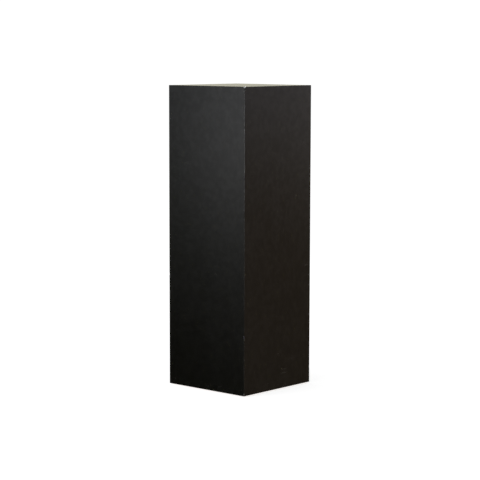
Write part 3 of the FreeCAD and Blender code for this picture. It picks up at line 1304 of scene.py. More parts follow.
@dataclass(frozen=True)
class MouldedNylon(Finish):
    """Moulded black nylon with a fine spark-eroded grain, scuffed at its foot."""

    title: str = "moulded nylon"
    colour: Colour = (0.012, 0.012, 0.013)
    rubbed: Colour = (0.055, 0.053, 0.05)
    grain: Noise = Noise(2400.0, 3.0, 0.6)
    grain_span: Span = (0.3, 0.7)
    scuffs: Noise = Noise(500.0)
    scuff_span: Span = (0.4, 0.6)
    scuff_height: Span = (0.0016, 0.0)
    roughness: Span = (0.42, 0.62)
    relief: float = 0.00003

    def wire(self, graph: Graph, shader: bpy.types.Node, place: Socket) -> None:
        """Fill the shader's sockets.

        Args:
            graph: The material's graph.
            shader: Its Principled shader.
            place: Object coordinates.
        """
        grain = graph.noise(place, self.grain)
        low = graph.ramp(graph.parts(place)[2], *self.scuff_height)
        scuffed = graph.times(low, graph.ramp(graph.noise(place, self.scuffs), *self.scuff_span))
        rough = graph.ramp(grain, *self.grain_span, *self.roughness)
        self.lay(graph, shader, graph.mix(scuffed, self.colour, self.rubbed), rough, grain, self.relief)


@dataclass(frozen=True)
class PaleFloor(Finish):
    """A plain pale floor that glows a little, so that its far side stays white."""

    title: str = "pale floor"
    colour: Colour = (0.86, 0.86, 0.86)
    roughness: float = 0.9
    glow: float = 0.78

    def wire(self, graph: Graph, shader: bpy.types.Node, place: Socket) -> None:
        """Fill the shader's sockets.

        Args:
            graph: The material's graph.
            shader: Its Principled shader.
            place: Object coordinates.
        """
        graph.fill(shader, Base_Color=self.colour, Roughness=self.roughness, Specular_IOR_Level=0.0)
        graph.fill(shader, Emission_Color=(1.0, 1.0, 1.0), Emission_Strength=self.glow)


PALE_PRIMER = ChippedEdge(title="pale primer", primer=(0.18, 0.175, 0.17), torn=(0.10, 0.09, 0.085))
# White primer with a blue tint for the corner chips: part bared undercoat, part a painted glint of the bright
# room on the rounded corner.
PRIMER_AND_GLINT = ChippedEdge(title="white primer and painted glint", primer=(0.86, 0.88, 0.88), torn=(0.45, 0.50, 0.56))

# ------------------------------------------------------------------ sub-assemblies


@dataclass(frozen=True)
class Chip:
    """A knock on an edge: where it is, its half sizes, the seed of its outline and what it bares; the white
    corner chips also paint a glint.
    """

    centre: tuple[float, float, float]
    half_size: tuple[float, float, float]
    seed: int
    bared: ChippedEdge = ChippedEdge()
    jag: float = 0.16
    bulge: float = 0.6

    def cutter(self) -> Piece:
        """Build the ragged lump that the chip takes away.

        Returns:
            A closed lump, dressed in the chipped finish.
        """
        ball = bpy.ops.mesh.primitive_ico_sphere_add
        lump = primitive(
            ball, f"chip_{self.seed}", subdivisions=3, radius=1.0, location=self.centre, scale=self.half_size
        )
        jag = min(self.half_size) * self.jag
        with editing(lump):
            bpy.ops.mesh.select_all(action="SELECT")
            bpy.ops.transform.vertex_random(offset=jag, normal=self.bulge, seed=self.seed)
        lump.data.materials.append(self.bared.material())
        return lump


@dataclass
class Shell:
    """Five mitred boards, rounded on the outside and knocked at a few edges."""

    arris: float = 0.0015
    arris_segments: int = 6
    least_facing: float = 0.4
    chips: tuple[Chip, ...] = (
        # The top front corner's chip is part bared primer and part a painted glint.
        Chip((0.1502, -0.1502, 0.9004), (0.0052, 0.0052, 0.0041), 3, PRIMER_AND_GLINT),
        Chip((0.1501, -0.1503, 0.1762), (0.0034, 0.0026, 0.0052), 5),
        Chip((0.1503, -0.1500, 0.6395), (0.0018, 0.0014, 0.0040), 8),
        Chip((0.1506, -0.1506, 0.0072), (0.0036, 0.0036, 0.0046), 11, PALE_PRIMER),
        Chip((-0.1502, -0.1501, 0.3350), (0.0020, 0.0016, 0.0045), 14),
        Chip((0.1502, 0.1501, 0.0500), (0.0022, 0.0018, 0.0050), 17),
        Chip((-0.1501, 0.1502, 0.8990), (0.0030, 0.0034, 0.0030), 21, PRIMER_AND_GLINT),
    )
    half_x: float = field(init=False)
    half_y: float = field(init=False)
    top: float = field(init=False)
    floor_gap: float = field(init=False)
    board: float = field(init=False)

    def __post_init__(self) -> None:
        """Read the shell's sizes from the frame."""
        front_low, front_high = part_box(Side.FRONT.node)
        right_low, right_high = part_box(Side.RIGHT.node)
        top_low, top_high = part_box("top_panel")
        self.half_x = right_high.x
        self.half_y = -front_low.y
        self.top = top_high.z
        self.floor_gap = front_low.z
        self.board = front_high.y - front_low.y

    def outer_form(self) -> Piece:
        """Model the whole outside as one block with rounded edges.

        Returns:
            The block, painted all over, with raw board as its second finish.
        """
        form = block(
            "outer_form",
            (-self.half_x, -self.half_y, self.floor_gap),
            (self.half_x, self.half_y, self.top),
        )
        with editing(form) as mesh:
            select_edges(mesh, lambda one, two: max(one.z, two.z) > self.floor_gap + self.arris)
            bpy.ops.mesh.bevel(offset=self.arris, segments=self.arris_segments, profile=0.5, affect="EDGES")
        form.data.materials.append(SatinBlack().material())
        form.data.materials.append(BareBoard().material())
        return form

    def panel(self, form: Piece, name: str, cuts: Sequence[tuple[Vector, Vector]]) -> Piece:
        """Saw one board out of the outer form.

        Args:
            form: The whole outside.
            name: The board's name.
            cuts: A point and an outward normal for each saw cut.

        Returns:
            The board, painted outside and raw on its sawn and inner faces.
        """
        board = copy_at(form, name, Matrix.Identity(4))
        for point, outward in cuts:
            slice_off(board, point, outward)
        for face in board.data.polygons:
            face.material_index = 0 if self.is_outside(face) else 1
        return board

    def is_outside(self, face: bpy.types.MeshPolygon) -> bool:
        """Tell whether a face is part of the painted outside.

        Args:
            face: A face of a board.

        Returns:
            True for the outer faces and their rounded edges.
        """
        depth = min(
            self.half_x - abs(face.center.x),
            self.half_y - abs(face.center.y),
            self.top - face.center.z,
        )
        outward = Vector((face.center.x / self.half_x, face.center.y / self.half_y, face.center.z / self.top))
        return depth < self.arris / 2 and face.normal.dot(outward) > self.least_facing

    def side_cuts(self, side: Side) -> list[tuple[Vector, Vector]]:
        """List the saw cuts of an upright board.

        Args:
            side: Which side the board is on.

        Returns:
            The inner face, two upright mitres and the top mitre.
        """
        outward = side.outward
        across = Vector((-outward.y, outward.x, 0.0))
        reach = self.half_y if outward.y else self.half_x
        half = self.half_x if outward.y else self.half_y
        face = outward * reach
        return [
            (outward * (reach - self.board), -outward),
            (face + across * half, across - outward),
            (face - across * half, -across - outward),
            (face + UP * self.top, UP - outward),
        ]

    def top_cuts(self) -> list[tuple[Vector, Vector]]:
        """List the saw cuts of the top board.

        Returns:
            The inner face and four mitres.
        """
        cuts = [(UP * (self.top - self.board), -UP)]
        for side in Side:
            reach = self.half_y if side.outward.y else self.half_x
            cuts.append((side.outward * reach + UP * self.top, side.outward - UP))
        return cuts

    def build(self, voids: Sequence[Piece]) -> dict[str, Piece]:
        """Model the five boards, slot and drill them, and knock the chips out of them.

        Args:
            voids: The space of the biscuits and the screws.

        Returns:
            The boards by name.
        """
        form = self.outer_form()
        boards = {side.node: self.panel(form, f"{side.node}_board", self.side_cuts(side)) for side in Side}
        boards["top_panel"] = self.panel(form, "top_panel_board", self.top_cuts())
        discard(form)
        for board in boards.values():
            for void in voids:
                carve(board, void)
        for chip in self.chips:
            cutter = chip.cutter()
            for board in boards.values():
                if self.touches(board, chip):
                    carve(board, cutter)
            discard(cutter)
        for board in boards.values():
            clear_slivers(board)
        return boards

    def touches(self, board: Piece, chip: Chip) -> bool:
        """Tell whether a chip reaches a board.

        Args:
            board: The board.
            chip: The chip.

        Returns:
            True if their boxes meet.
        """
        low = [min(vertex.co[axis] for vertex in board.data.vertices) for axis in range(3)]
        high = [max(vertex.co[axis] for vertex in board.data.vertices) for axis in range(3)]
        return all(
            low[axis] - size < centre < high[axis] + size
            for axis, (centre, size) in enumerate(zip(chip.centre, chip.half_size))
        )

    def dress(self, boards: dict[str, Piece]) -> None:
        """Shade the boards and put them on the shell's body.

        Args:
            boards: The boards by the node that each replaces.
        """
        for node, board in boards.items():
            smooth(board)
            weigh_normals(board)
            hang(board, "shell", node)


@dataclass(frozen=True)
class Helix:
    """A screw thread: a ridge wound round a core."""

    root: float
    crest: float
    pitch: float
    count: int
    steps: int
    sunk: float = 0.3
    ridge: float = 0.42

    def build(self, name: str, start: float) -> Piece:
        """Wind the ridge with a screw modifier and close its ends.

        Args:
            name: The ridge's name.
            start: The height of its lower end.

        Returns:
            A closed ridge that sinks a little into the core.
        """
        sunk = self.root - (self.crest - self.root) * self.sunk
        half = self.pitch * self.ridge
        corners = [(sunk, 0.0, start), (self.crest, 0.0, start + half), (sunk, 0.0, start + 2 * half)]
        ridge = outline(name, corners, [(0, 1), (1, 2), (2, 0)])
        steps = {"steps": self.steps, "render_steps": self.steps, "iterations": self.count}
        apply_modifier(ridge, "SCREW", axis="Z", angle=math.tau, screw_offset=self.pitch, **steps)
        with editing(ridge):
            bpy.ops.mesh.select_mode(type="EDGE")
            bpy.ops.mesh.select_non_manifold()
            bpy.ops.mesh.edge_face_add()
            bpy.ops.mesh.select_all(action="SELECT")
            bpy.ops.mesh.normals_make_consistent(inside=False)
        return ridge


@dataclass
class WoodScrews:
    """Countersunk wood screws with a cross recess, in sets that follow the CAD."""

    nodes: tuple[str, ...] = (
        "base_batten_screws",
        "top_batten_screws",
        "corner_batten_screws",
        "cap_screws",
        "base_board_screws",
    )
    head_radius: float = 0.0038
    head_depth: float = 0.0026
    shank_radius: float = 0.0018
    core_radius: float = 0.0012
    length: float = 0.035
    point: float = 0.006
    plain: float = 0.004
    runout: float = 0.0006
    head_rim: float = 0.0003
    slack: float = 0.95
    thread: Helix = Helix(root=0.0012, crest=0.00178, pitch=0.0018, count=12, steps=12)
    facets: int = 24
    hole_facets: int = 16
    recess_width: float = 0.0009
    recess_reach: float = 0.0019
    recess_depth: float = 0.0016
    recess_over: float = 0.0005
    recess_taper: tuple[float, float, float] = (0.35, 0.7, 1.0)
    golden_turn: float = 2.4

    def master(self) -> Piece:
        """Model one screw, its head's top at the origin and its point downwards.

        Returns:
            The screw.
        """
        plain = self.head_depth + self.plain
        shank = self.shank_radius * self.slack
        profile = [
            (0.0, -self.length),
            (self.core_radius * 0.55, -self.length + self.point * 0.45),
            (self.core_radius, -self.length + self.point),
            (self.core_radius, -plain - self.runout),
            (shank, -plain),
            (shank, -self.head_depth),
            (self.head_radius, -self.head_rim),
            (self.head_radius, 0.0),
            (0.0, 0.0),
        ]
        body = lathe("screw", profile, self.facets)
        for turn in (0.0, math.pi / 2):
            cutter = self.recess(turn)
            carve(body, cutter)
            discard(cutter)
        ridge = self.thread.build("thread", -self.length + self.point * 0.85)
        screw = join("screw", [body, ridge])
        screw.data.materials.clear()
        screw.data.materials.append(ZincPlate().material())
        smooth(screw)
        return screw

    def recess(self, turn: float) -> Piece:
        """Build one arm pair of the cross, narrower at its foot.

        Args:
            turn: Its turn about the screw's axis.

        Returns:
            A tapered cutter.
        """
        half, reach = self.recess_width / 2, self.recess_reach
        arm = block("recess", (-reach, -half, -self.recess_depth), (reach, half, self.recess_over))
        with editing(arm) as mesh:
            select_faces(mesh, lambda centre, normal: normal.z < -ALIGNED)
            bpy.ops.transform.resize(value=self.recess_taper, center_override=(0.0, 0.0, 0.0))
        arm.data.transform(Matrix.Rotation(turn, 4, "Z"))
        return arm

    def envelope(self) -> Piece:
        """Model the hole that a screw sits in.

        Returns:
            A plain countersunk cutter.
        """
        profile = [
            (0.0, -self.length),
            (self.shank_radius, -self.length + self.point),
            (self.shank_radius, -self.head_depth),
            (self.head_radius, 0.0),
            (0.0, 0.0),
        ]
        return lathe("screw_hole", profile, self.hole_facets)

    def places(self, node: str) -> list[Matrix]:
        """Find where a set's screws go.

        Args:
            node: The set's CAD node.

        Returns:
            Each screw's place.
        """
        spins = (self.golden_turn * number for number in itertools.count())
        return [place_along(*solid.head(), spin) for solid, spin in zip(solids(node), spins)]

    def holes(self) -> Piece:
        """Model the space of every screw.

        Returns:
            All the holes as one cutter.
        """
        hole = self.envelope()
        places = [place for node in self.nodes for place in self.places(node)]
        holes = repeat(hole, "screw_holes", places)
        discard(hole)
        return holes

    def build(self) -> None:
        """Model one screw and set a copy in every place."""
        screw = self.master()
        for node in self.nodes:
            hang(repeat(screw, f"{node}_set", self.places(node)), "shell", node)
        discard(screw)


@dataclass
class Biscuits:
    """Pressed beech biscuits in the mitres, and the slots that they lie in."""

    length: float = 0.047
    width: float = 0.015
    thickness: float = 0.0038
    tip: float = 0.003
    eased: float = 0.0004
    facets: int = 160
    slot_play: Vector = field(default_factory=lambda: Vector((0.001, 0.0001, 0.0036)))

    def lens(self, name: str, play: Vector) -> Piece:
        """Model a blunt-ended lens, long in Z, wide in X and thin in Y.

        Args:
            name: The lens's name.
            play: What is added to its width, thickness and length.

        Returns:
            The lens at the origin.
        """
        half_width, half_tip = (self.width + play.x) / 2, self.tip / 2
        half_length, half_thickness = (self.length + play.z) / 2, (self.thickness + play.y) / 2
        rise = half_width - half_tip
        radius = (half_length**2 + rise**2) / (2 * rise)
        disc = rod(name, radius, (0.0, 0.0, -half_thickness), 2 * half_thickness, self.facets)
        disc.data.transform(Matrix.Rotation(math.pi / 2, 4, "X"))
        disc.data.transform(Matrix.Translation((half_width - radius, 0.0, 0.0)))
        slice_off(disc, Vector((0.0, 0.0, 0.0)), Vector((-1.0, 0.0, 0.0)))
        for end in (-1, 1):
            slice_off(disc, Vector((0.0, 0.0, end * half_length)), Vector((0.0, 0.0, end)))
        with editing(disc) as mesh:
            select_faces(mesh, lambda centre, normal: normal.x < -ALIGNED)
            bpy.ops.mesh.delete(type="ONLY_FACE")
        apply_modifier(disc, "MIRROR", merge_threshold=WELD)
        seal(disc)
        return disc

    def corner_place(self, centre: Vector) -> Matrix:
        """Place a biscuit across an upright mitre.

        Args:
            centre: The biscuit's middle.

        Returns:
            Its place.
        """
        thin = Vector((math.copysign(1.0, centre.x), math.copysign(1.0, centre.y), 0.0)).normalized()
        return self.basis(centre, thin, UP)

    def top_place(self, centre: Vector) -> Matrix:
        """Place a biscuit across a mitre of the top.

        Args:
            centre: The biscuit's middle.

        Returns:
            Its place.
        """
        out = max(Side, key=lambda side: side.outward.dot(centre)).outward
        return self.basis(centre, (out + UP).normalized(), out.cross(UP))

    @staticmethod
    def basis(centre: Vector, thin: Vector, long: Vector) -> Matrix:
        """Build a place from two of its directions.

        Args:
            centre: The place's origin.
            thin: Where the piece's Y points.
            long: Where its Z points.

        Returns:
            The place.
        """
        return Matrix.Translation(centre) @ Matrix((thin.cross(long), thin, long)).transposed().to_4x4()

    def places(self) -> dict[str, list[Matrix]]:
        """Find where every biscuit goes.

        Returns:
            The places in each CAD node.
        """
        return {
            "corner_biscuits": [self.corner_place(solid.centre) for solid in solids("corner_biscuits")],
            "top_biscuits": [self.top_place(solid.centre) for solid in solids("top_biscuits")],
        }

    def slots(self) -> Piece:
        """Model the space of every slot.

        Returns:
            All the slots as one cutter.
        """
        lens = self.lens("slot", self.slot_play)
        slots = repeat(lens, "biscuit_slots", sum(self.places().values(), []))
        discard(lens)
        return slots

    def build(self) -> None:
        """Model one biscuit and lay a copy in every slot."""
        biscuit = self.lens("biscuit", Vector((0.0, 0.0, 0.0)))
        sharp = {"limit_method": "ANGLE", "angle_limit": math.radians(SMOOTH_BELOW)}
        apply_modifier(biscuit, "BEVEL", width=self.eased, segments=1, **sharp)
        biscuit.data.materials.append(PressedBeech().material())
        for node, places in self.places().items():
            hang(repeat(biscuit, f"{node}_set", places), "shell", node)
        discard(biscuit)


@dataclass
class BattenFrame:
    """Planed softwood battens with eased edges, drilled for their screws."""

    eased: float = 0.0012
    steps: int = 3

    def build(self, holes: Piece) -> None:
        """Model every batten in its CAD box.

        Args:
            holes: The space of every screw.
        """
        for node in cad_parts:
            if "batten" in node and "screws" not in node:
                self.batten(node, holes)

    def batten(self, node: str, holes: Piece) -> None:
        """Model one batten.

        Args:
            node: The CAD node that it replaces.
            holes: The space of every screw.
        """
        low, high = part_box(node)
        size = high - low
        axis = max(range(3), key=lambda number: size[number])
        batten = block(f"{node}_timber", low, high)
        with editing(batten) as mesh:
            select_edges(mesh, lambda one, two: abs(one[axis] - two[axis]) > size[axis] / 2)
            bpy.ops.mesh.bevel(offset=self.eased, segments=self.steps, affect="EDGES")
        carve(batten, holes, own_finish=True)
        batten.data.materials.clear()
        batten.data.materials.append(Timber.along(axis).material())
        smooth(batten)
        weigh_normals(batten)
        hang(batten, "shell", node)


@dataclass
class TeeNuts:
    """Pronged tee nuts that the levelling feet screw into."""

    node: str = "tee_nuts"
    flange_radius: float = 0.011
    flange: float = 0.0016
    barrel_radius: float = 0.005
    bore_radius: float = 0.00406
    prong_radius: float = 0.0095
    prong: Vector = field(default_factory=lambda: Vector((0.0014, 0.0030, 0.0070)))
    prong_taper: tuple[float, float, float] = (0.6, 0.15, 1.0)
    fillet: float = 0.0007
    bore_mouth: float = 0.0006
    facets: int = 40

    def build(self) -> None:
        """Model one tee nut and set a copy at each foot."""
        found = solids(self.node)
        height = found[0].high.z - found[0].low.z
        nut = self.master(height)
        places = [Matrix.Translation((*solid.centre.xy, solid.low.z)) for solid in found]
        hang(repeat(nut, "tee_nut_set", places), "shell", self.node)
        discard(nut)

    def master(self, height: float) -> Piece:
        """Model one tee nut on the origin.

        Args:
            height: Its whole height.

        Returns:
            The nut.
        """
        fillet = self.fillet
        body = lathe(
            "tee_nut",
            [
                (self.bore_radius + self.bore_mouth, 0.0),
                (self.flange_radius - 0.0004, 0.0),
                (self.flange_radius, 0.0004),
                (self.flange_radius, self.flange - 0.0003),
                (self.flange_radius - 0.0003, self.flange),
                (self.barrel_radius + fillet, self.flange),
                (self.barrel_radius + fillet * 0.3, self.flange + fillet * 0.3),
                (self.barrel_radius, self.flange + fillet),
                (self.barrel_radius, height - 0.0002),
                (self.barrel_radius - 0.0002, height),
                (self.bore_radius + 0.0003, height),
                (self.bore_radius, height - 0.0005),
                (self.bore_radius, self.bore_mouth),
            ],
            self.facets,
            ring=True,
        )
        size = self.prong
        spike = block(
            "prong",
            (self.prong_radius - size.x / 2, -size.y / 2, self.flange / 2),
            (self.prong_radius + size.x / 2, size.y / 2, self.flange + size.z),
        )
        with editing(spike) as mesh:
            select_faces(mesh, lambda centre, normal: normal.z > ALIGNED)
            bpy.ops.transform.resize(value=self.prong_taper, center_override=(self.prong_radius, 0.0, 0.0))
        nut = join("tee_nut", [body, repeat(spike, "prongs", turns(4))])
        discard(spike)
        nut.data.materials.append(ZincPlate().material())
        smooth(nut)
        return nut


@dataclass
class LevellingFoot:
    """A nylon pad that swivels on a threaded stud with a spanner hexagon."""

    corner: Corner
    pad_radius: float = 0.016
    pad_height: float = 0.008
    rim: float = 0.003
    neck_radius: float = 0.0095
    chamfer: float = 0.0008
    socket_radius: float = 0.0062
    socket_floor: float = 0.0032
    mouth_radius: float = 0.0044
    lip: float = 0.001
    disc_radius: float = 0.006
    disc_low: float = 0.0034
    disc_high: float = 0.0068
    stud_radius: float = 0.004
    stud_root: float = 0.0034
    stud_top: float = 0.040
    pitch: float = 0.00125
    flats: float = 0.013
    hex_low: float = 0.0085
    hex_high: float = 0.014
    hex_edge: float = 0.0005
    thread_start: float = 0.0010
    thread_slack: float = 0.00005
    thread_steps: int = 24
    grooves: tuple[float, ...] = (0.0045, 0.0075, 0.0105, 0.0135)
    groove_depth: float = 0.0004
    groove_foot: float = 0.0003
    groove_mouth: float = 0.0005
    rib_count: int = 8
    rib_half: float = 0.0006
    rib_drop: float = 0.0022
    pad_facets: int = 64
    stud_facets: int = 32
    smooth_below: float = 35.0

    @property
    def base(self) -> Vector:
        """Where the foot meets the floor."""
        low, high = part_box(f"foot_pad_{self.corner.suffix}")
        return Vector(((low.x + high.x) / 2, (low.y + high.y) / 2, low.z))

    def pad(self) -> Piece:
        """Model the pad with grip grooves under it and ribs up to its neck.

        Returns:
            The pad on the origin.
        """
        profile = [(0.0, 0.0)]
        for radius in self.grooves:
            profile += [
                (radius - self.groove_mouth, 0.0),
                (radius - self.groove_foot, self.groove_depth),
                (radius + self.groove_foot, self.groove_depth),
                (radius + self.groove_mouth, 0.0),
            ]
        profile += [
            (self.pad_radius - 0.0005, 0.0),
            (self.pad_radius, 0.0005),
            (self.pad_radius, self.rim - 0.0008),
            (self.pad_radius - 0.0008, self.rim),
            (self.neck_radius + 0.0018, self.rim + 0.0004),
            (self.neck_radius + 0.0004, self.rim + 0.0014),
            (self.neck_radius, self.rim + 0.0024),
            (self.neck_radius, self.pad_height - self.chamfer),
            (self.neck_radius - self.chamfer, self.pad_height),
            (self.mouth_radius + 0.0003, self.pad_height),
            (self.mouth_radius, self.pad_height - 0.0003),
            (self.mouth_radius, self.pad_height - self.lip),
            (self.socket_radius, self.pad_height - self.lip),
            (self.socket_radius, self.socket_floor),
            (0.0, self.socket_floor),
        ]
        body = lathe("pad", profile, self.pad_facets)
        rib_top = self.pad_height - self.rib_drop
        rib = block(
            "rib",
            (self.neck_radius - 0.0005, -self.rib_half, self.rim - 0.0006),
            (self.pad_radius - 0.0012, self.rib_half, rib_top),
        )
        with editing(rib) as mesh:
            outer = self.pad_radius - 0.0014
            select_edges(mesh, lambda one, two: min(one.x, two.x) > outer and min(one.z, two.z) > self.rim)
            bpy.ops.transform.translate(value=(0.0, 0.0, self.rim + 0.0002 - rib_top))
        pad = join("pad", [body, repeat(rib, "ribs", turns(self.rib_count))])
        discard(rib)
        pad.data.materials.append(MouldedNylon().material())
        smooth(pad, self.smooth_below)
        return pad

    def stud(self) -> Piece:
        """Model the stud: a disc in the pad, a hexagon and a thread.

        Returns:
            The stud on the pad's origin.
        """
        radius = self.stud_root
        core = lathe(
            "stud",
            [
                (0.0, self.disc_low),
                (self.disc_radius - 0.0004, self.disc_low),
                (self.disc_radius, self.disc_low + 0.0004),
                (self.disc_radius, self.disc_high - 0.0006),
                (self.disc_radius - 0.0006, self.disc_high),
                (self.stud_radius, self.disc_high),
                (self.stud_radius, self.hex_high + 0.0006),
                (radius, self.hex_high + 0.0012),
                (radius, self.stud_top - 0.0008),
                (radius - 0.0008, self.stud_top),
                (0.0, self.stud_top),
            ],
            self.stud_facets,
        )
        start = self.hex_high + self.thread_start
        count = int((self.stud_top - 0.0012 - start) / self.pitch) - 1
        thread = Helix(radius, self.stud_radius - self.thread_slack, self.pitch, count, self.thread_steps)
        ridge = thread.build("thread", start)
        corner, height = self.flats / math.sqrt(3), self.hex_high - self.hex_low
        nut = rod("hexagon", corner, (0.0, 0.0, self.hex_low), height, 6)
        with editing(nut) as mesh:
            select_edges(mesh, lambda one, two: abs(one.z - two.z) < WELD)
            bpy.ops.mesh.bevel(offset=self.hex_edge, segments=2, affect="EDGES")
        stud = join("stud", [core, ridge, nut])
        stud.data.materials.append(ZincPlate().material())
        smooth(stud, self.smooth_below)
        return stud

    def build(self, pad: Piece, stud: Piece) -> None:
        """Set copies of the pad and the stud at this corner.

        Args:
            pad: The master pad.
            stud: The master stud.
        """
        place = Matrix.Translation(self.base)
        name = self.corner.suffix
        hang(copy_at(pad, f"pad_{name}_nylon", place), f"pad_{name}", f"foot_pad_{name}")
        hang(copy_at(stud, f"stud_{name}_zinc", place), f"stud_{name}", f"foot_stud_{name}")


# ------------------------------------------------------------------ studio


def level_direction(degrees: float) -> Vector:
    """Point level, turned from +X towards +Y."""
    turn = math.radians(degrees)
    return Vector((math.cos(turn), math.sin(turn), 0.0))


@dataclass(frozen=True)
class Wall:
    """What lies one way from the plinth, from the floor up: a colour at each rise."""

    azimuth: float
    tones: tuple[tuple[float, Colour], ...]

    @property
    def towards(self) -> Vector:
        """The level direction of the wall."""
        return level_direction(self.azimuth)


@dataclass(frozen=True)
class Glow:
    """A dim upright panel that only the paint mirrors, brighter towards one side and the top."""

    title: str
    bearing: float
    distance: float
    colour: Colour
    sideways: tuple[tuple[float, float], ...]
    upwards: tuple[tuple[float, float], ...]
    width: float = 2.4
    low: float = -0.5
    high: float = 2.0

    def build(self) -> None:
        """Stand the panel beside the plinth, facing it."""
        middle = UP * (self.low + self.high) / 2
        centre = level_direction(self.bearing) * self.distance + middle
        facing = (math.pi / 2, 0.0, math.radians(self.bearing) + math.pi / 2)
        bpy.ops.object.select_all(action="DESELECT")
        bpy.ops.mesh.primitive_plane_add(size=1.0, location=centre, rotation=facing)
        panel = name_piece(bpy.context.object, self.title)
        panel.scale = (self.width, self.high - self.low, 1.0)
        panel.data.materials.append(self.material())
        for ray in ("camera", "diffuse", "shadow", "transmission", "volume_scatter"):
            setattr(panel, f"visible_{ray}", False)

    def material(self) -> bpy.types.Material:
        """Build light that fades over the panel and adds to what is behind it.

        Returns:
            The panel's material.
        """
        made, graph = blank_material(self.title)
        made.cycles.emission_sampling = "NONE"
        x, y, _ = graph.parts(graph.add("TexCoord").outputs["Object"])
        stops = self.share(self.sideways, -self.width / 2, self.width / 2)
        across = tone_ramp(graph, graph.plus(x, 0.5), stops)
        rise = tone_ramp(graph, graph.plus(y, 0.5), self.share(self.upwards, self.low, self.high))
        light = graph.add("Emission", Color=self.colour, Strength=graph.times(across, rise))
        both = graph.add("AddShader")
        for socket, part in zip(both.inputs, (light, graph.add("BsdfTransparent"))):
            graph.feed(socket, part.outputs[0])
        graph.add("OutputMaterial", Surface=both.outputs[0])
        return made

    @staticmethod
    def share(stops: Sequence[tuple[float, float]], start: float, end: float) -> list[tuple[float, Colour]]:
        """Turn stops in metres into shares of the panel.

        Args:
            stops: Places in metres, each with its strength.
            start: The panel's first edge.
            end: The panel's last edge.

        Returns:
            Places from 0 to 1, each with a grey.
        """
        return [((place - start) / (end - start), (strength,) * 3) for place, strength in stops]


def tone_ramp(graph: Graph, place: Socket, stops: Sequence[tuple[float, Colour]]) -> Socket:
    """Colour a place along a line of stops.

    Args:
        graph: The graph to build in.
        place: Where on the line, from 0 to 1.
        stops: Places from 0 to 1, each with its colour.

    Returns:
        The colour at the place.
    """
    node = graph.add("ValToRGB", Fac=place)
    elements = node.color_ramp.elements
    for number, (position, colour) in enumerate(stops):
        stop = elements[number] if number < 2 else elements.new(position)
        stop.position = position
        stop.color = (*colour, 1.0)
    return node.outputs[0]


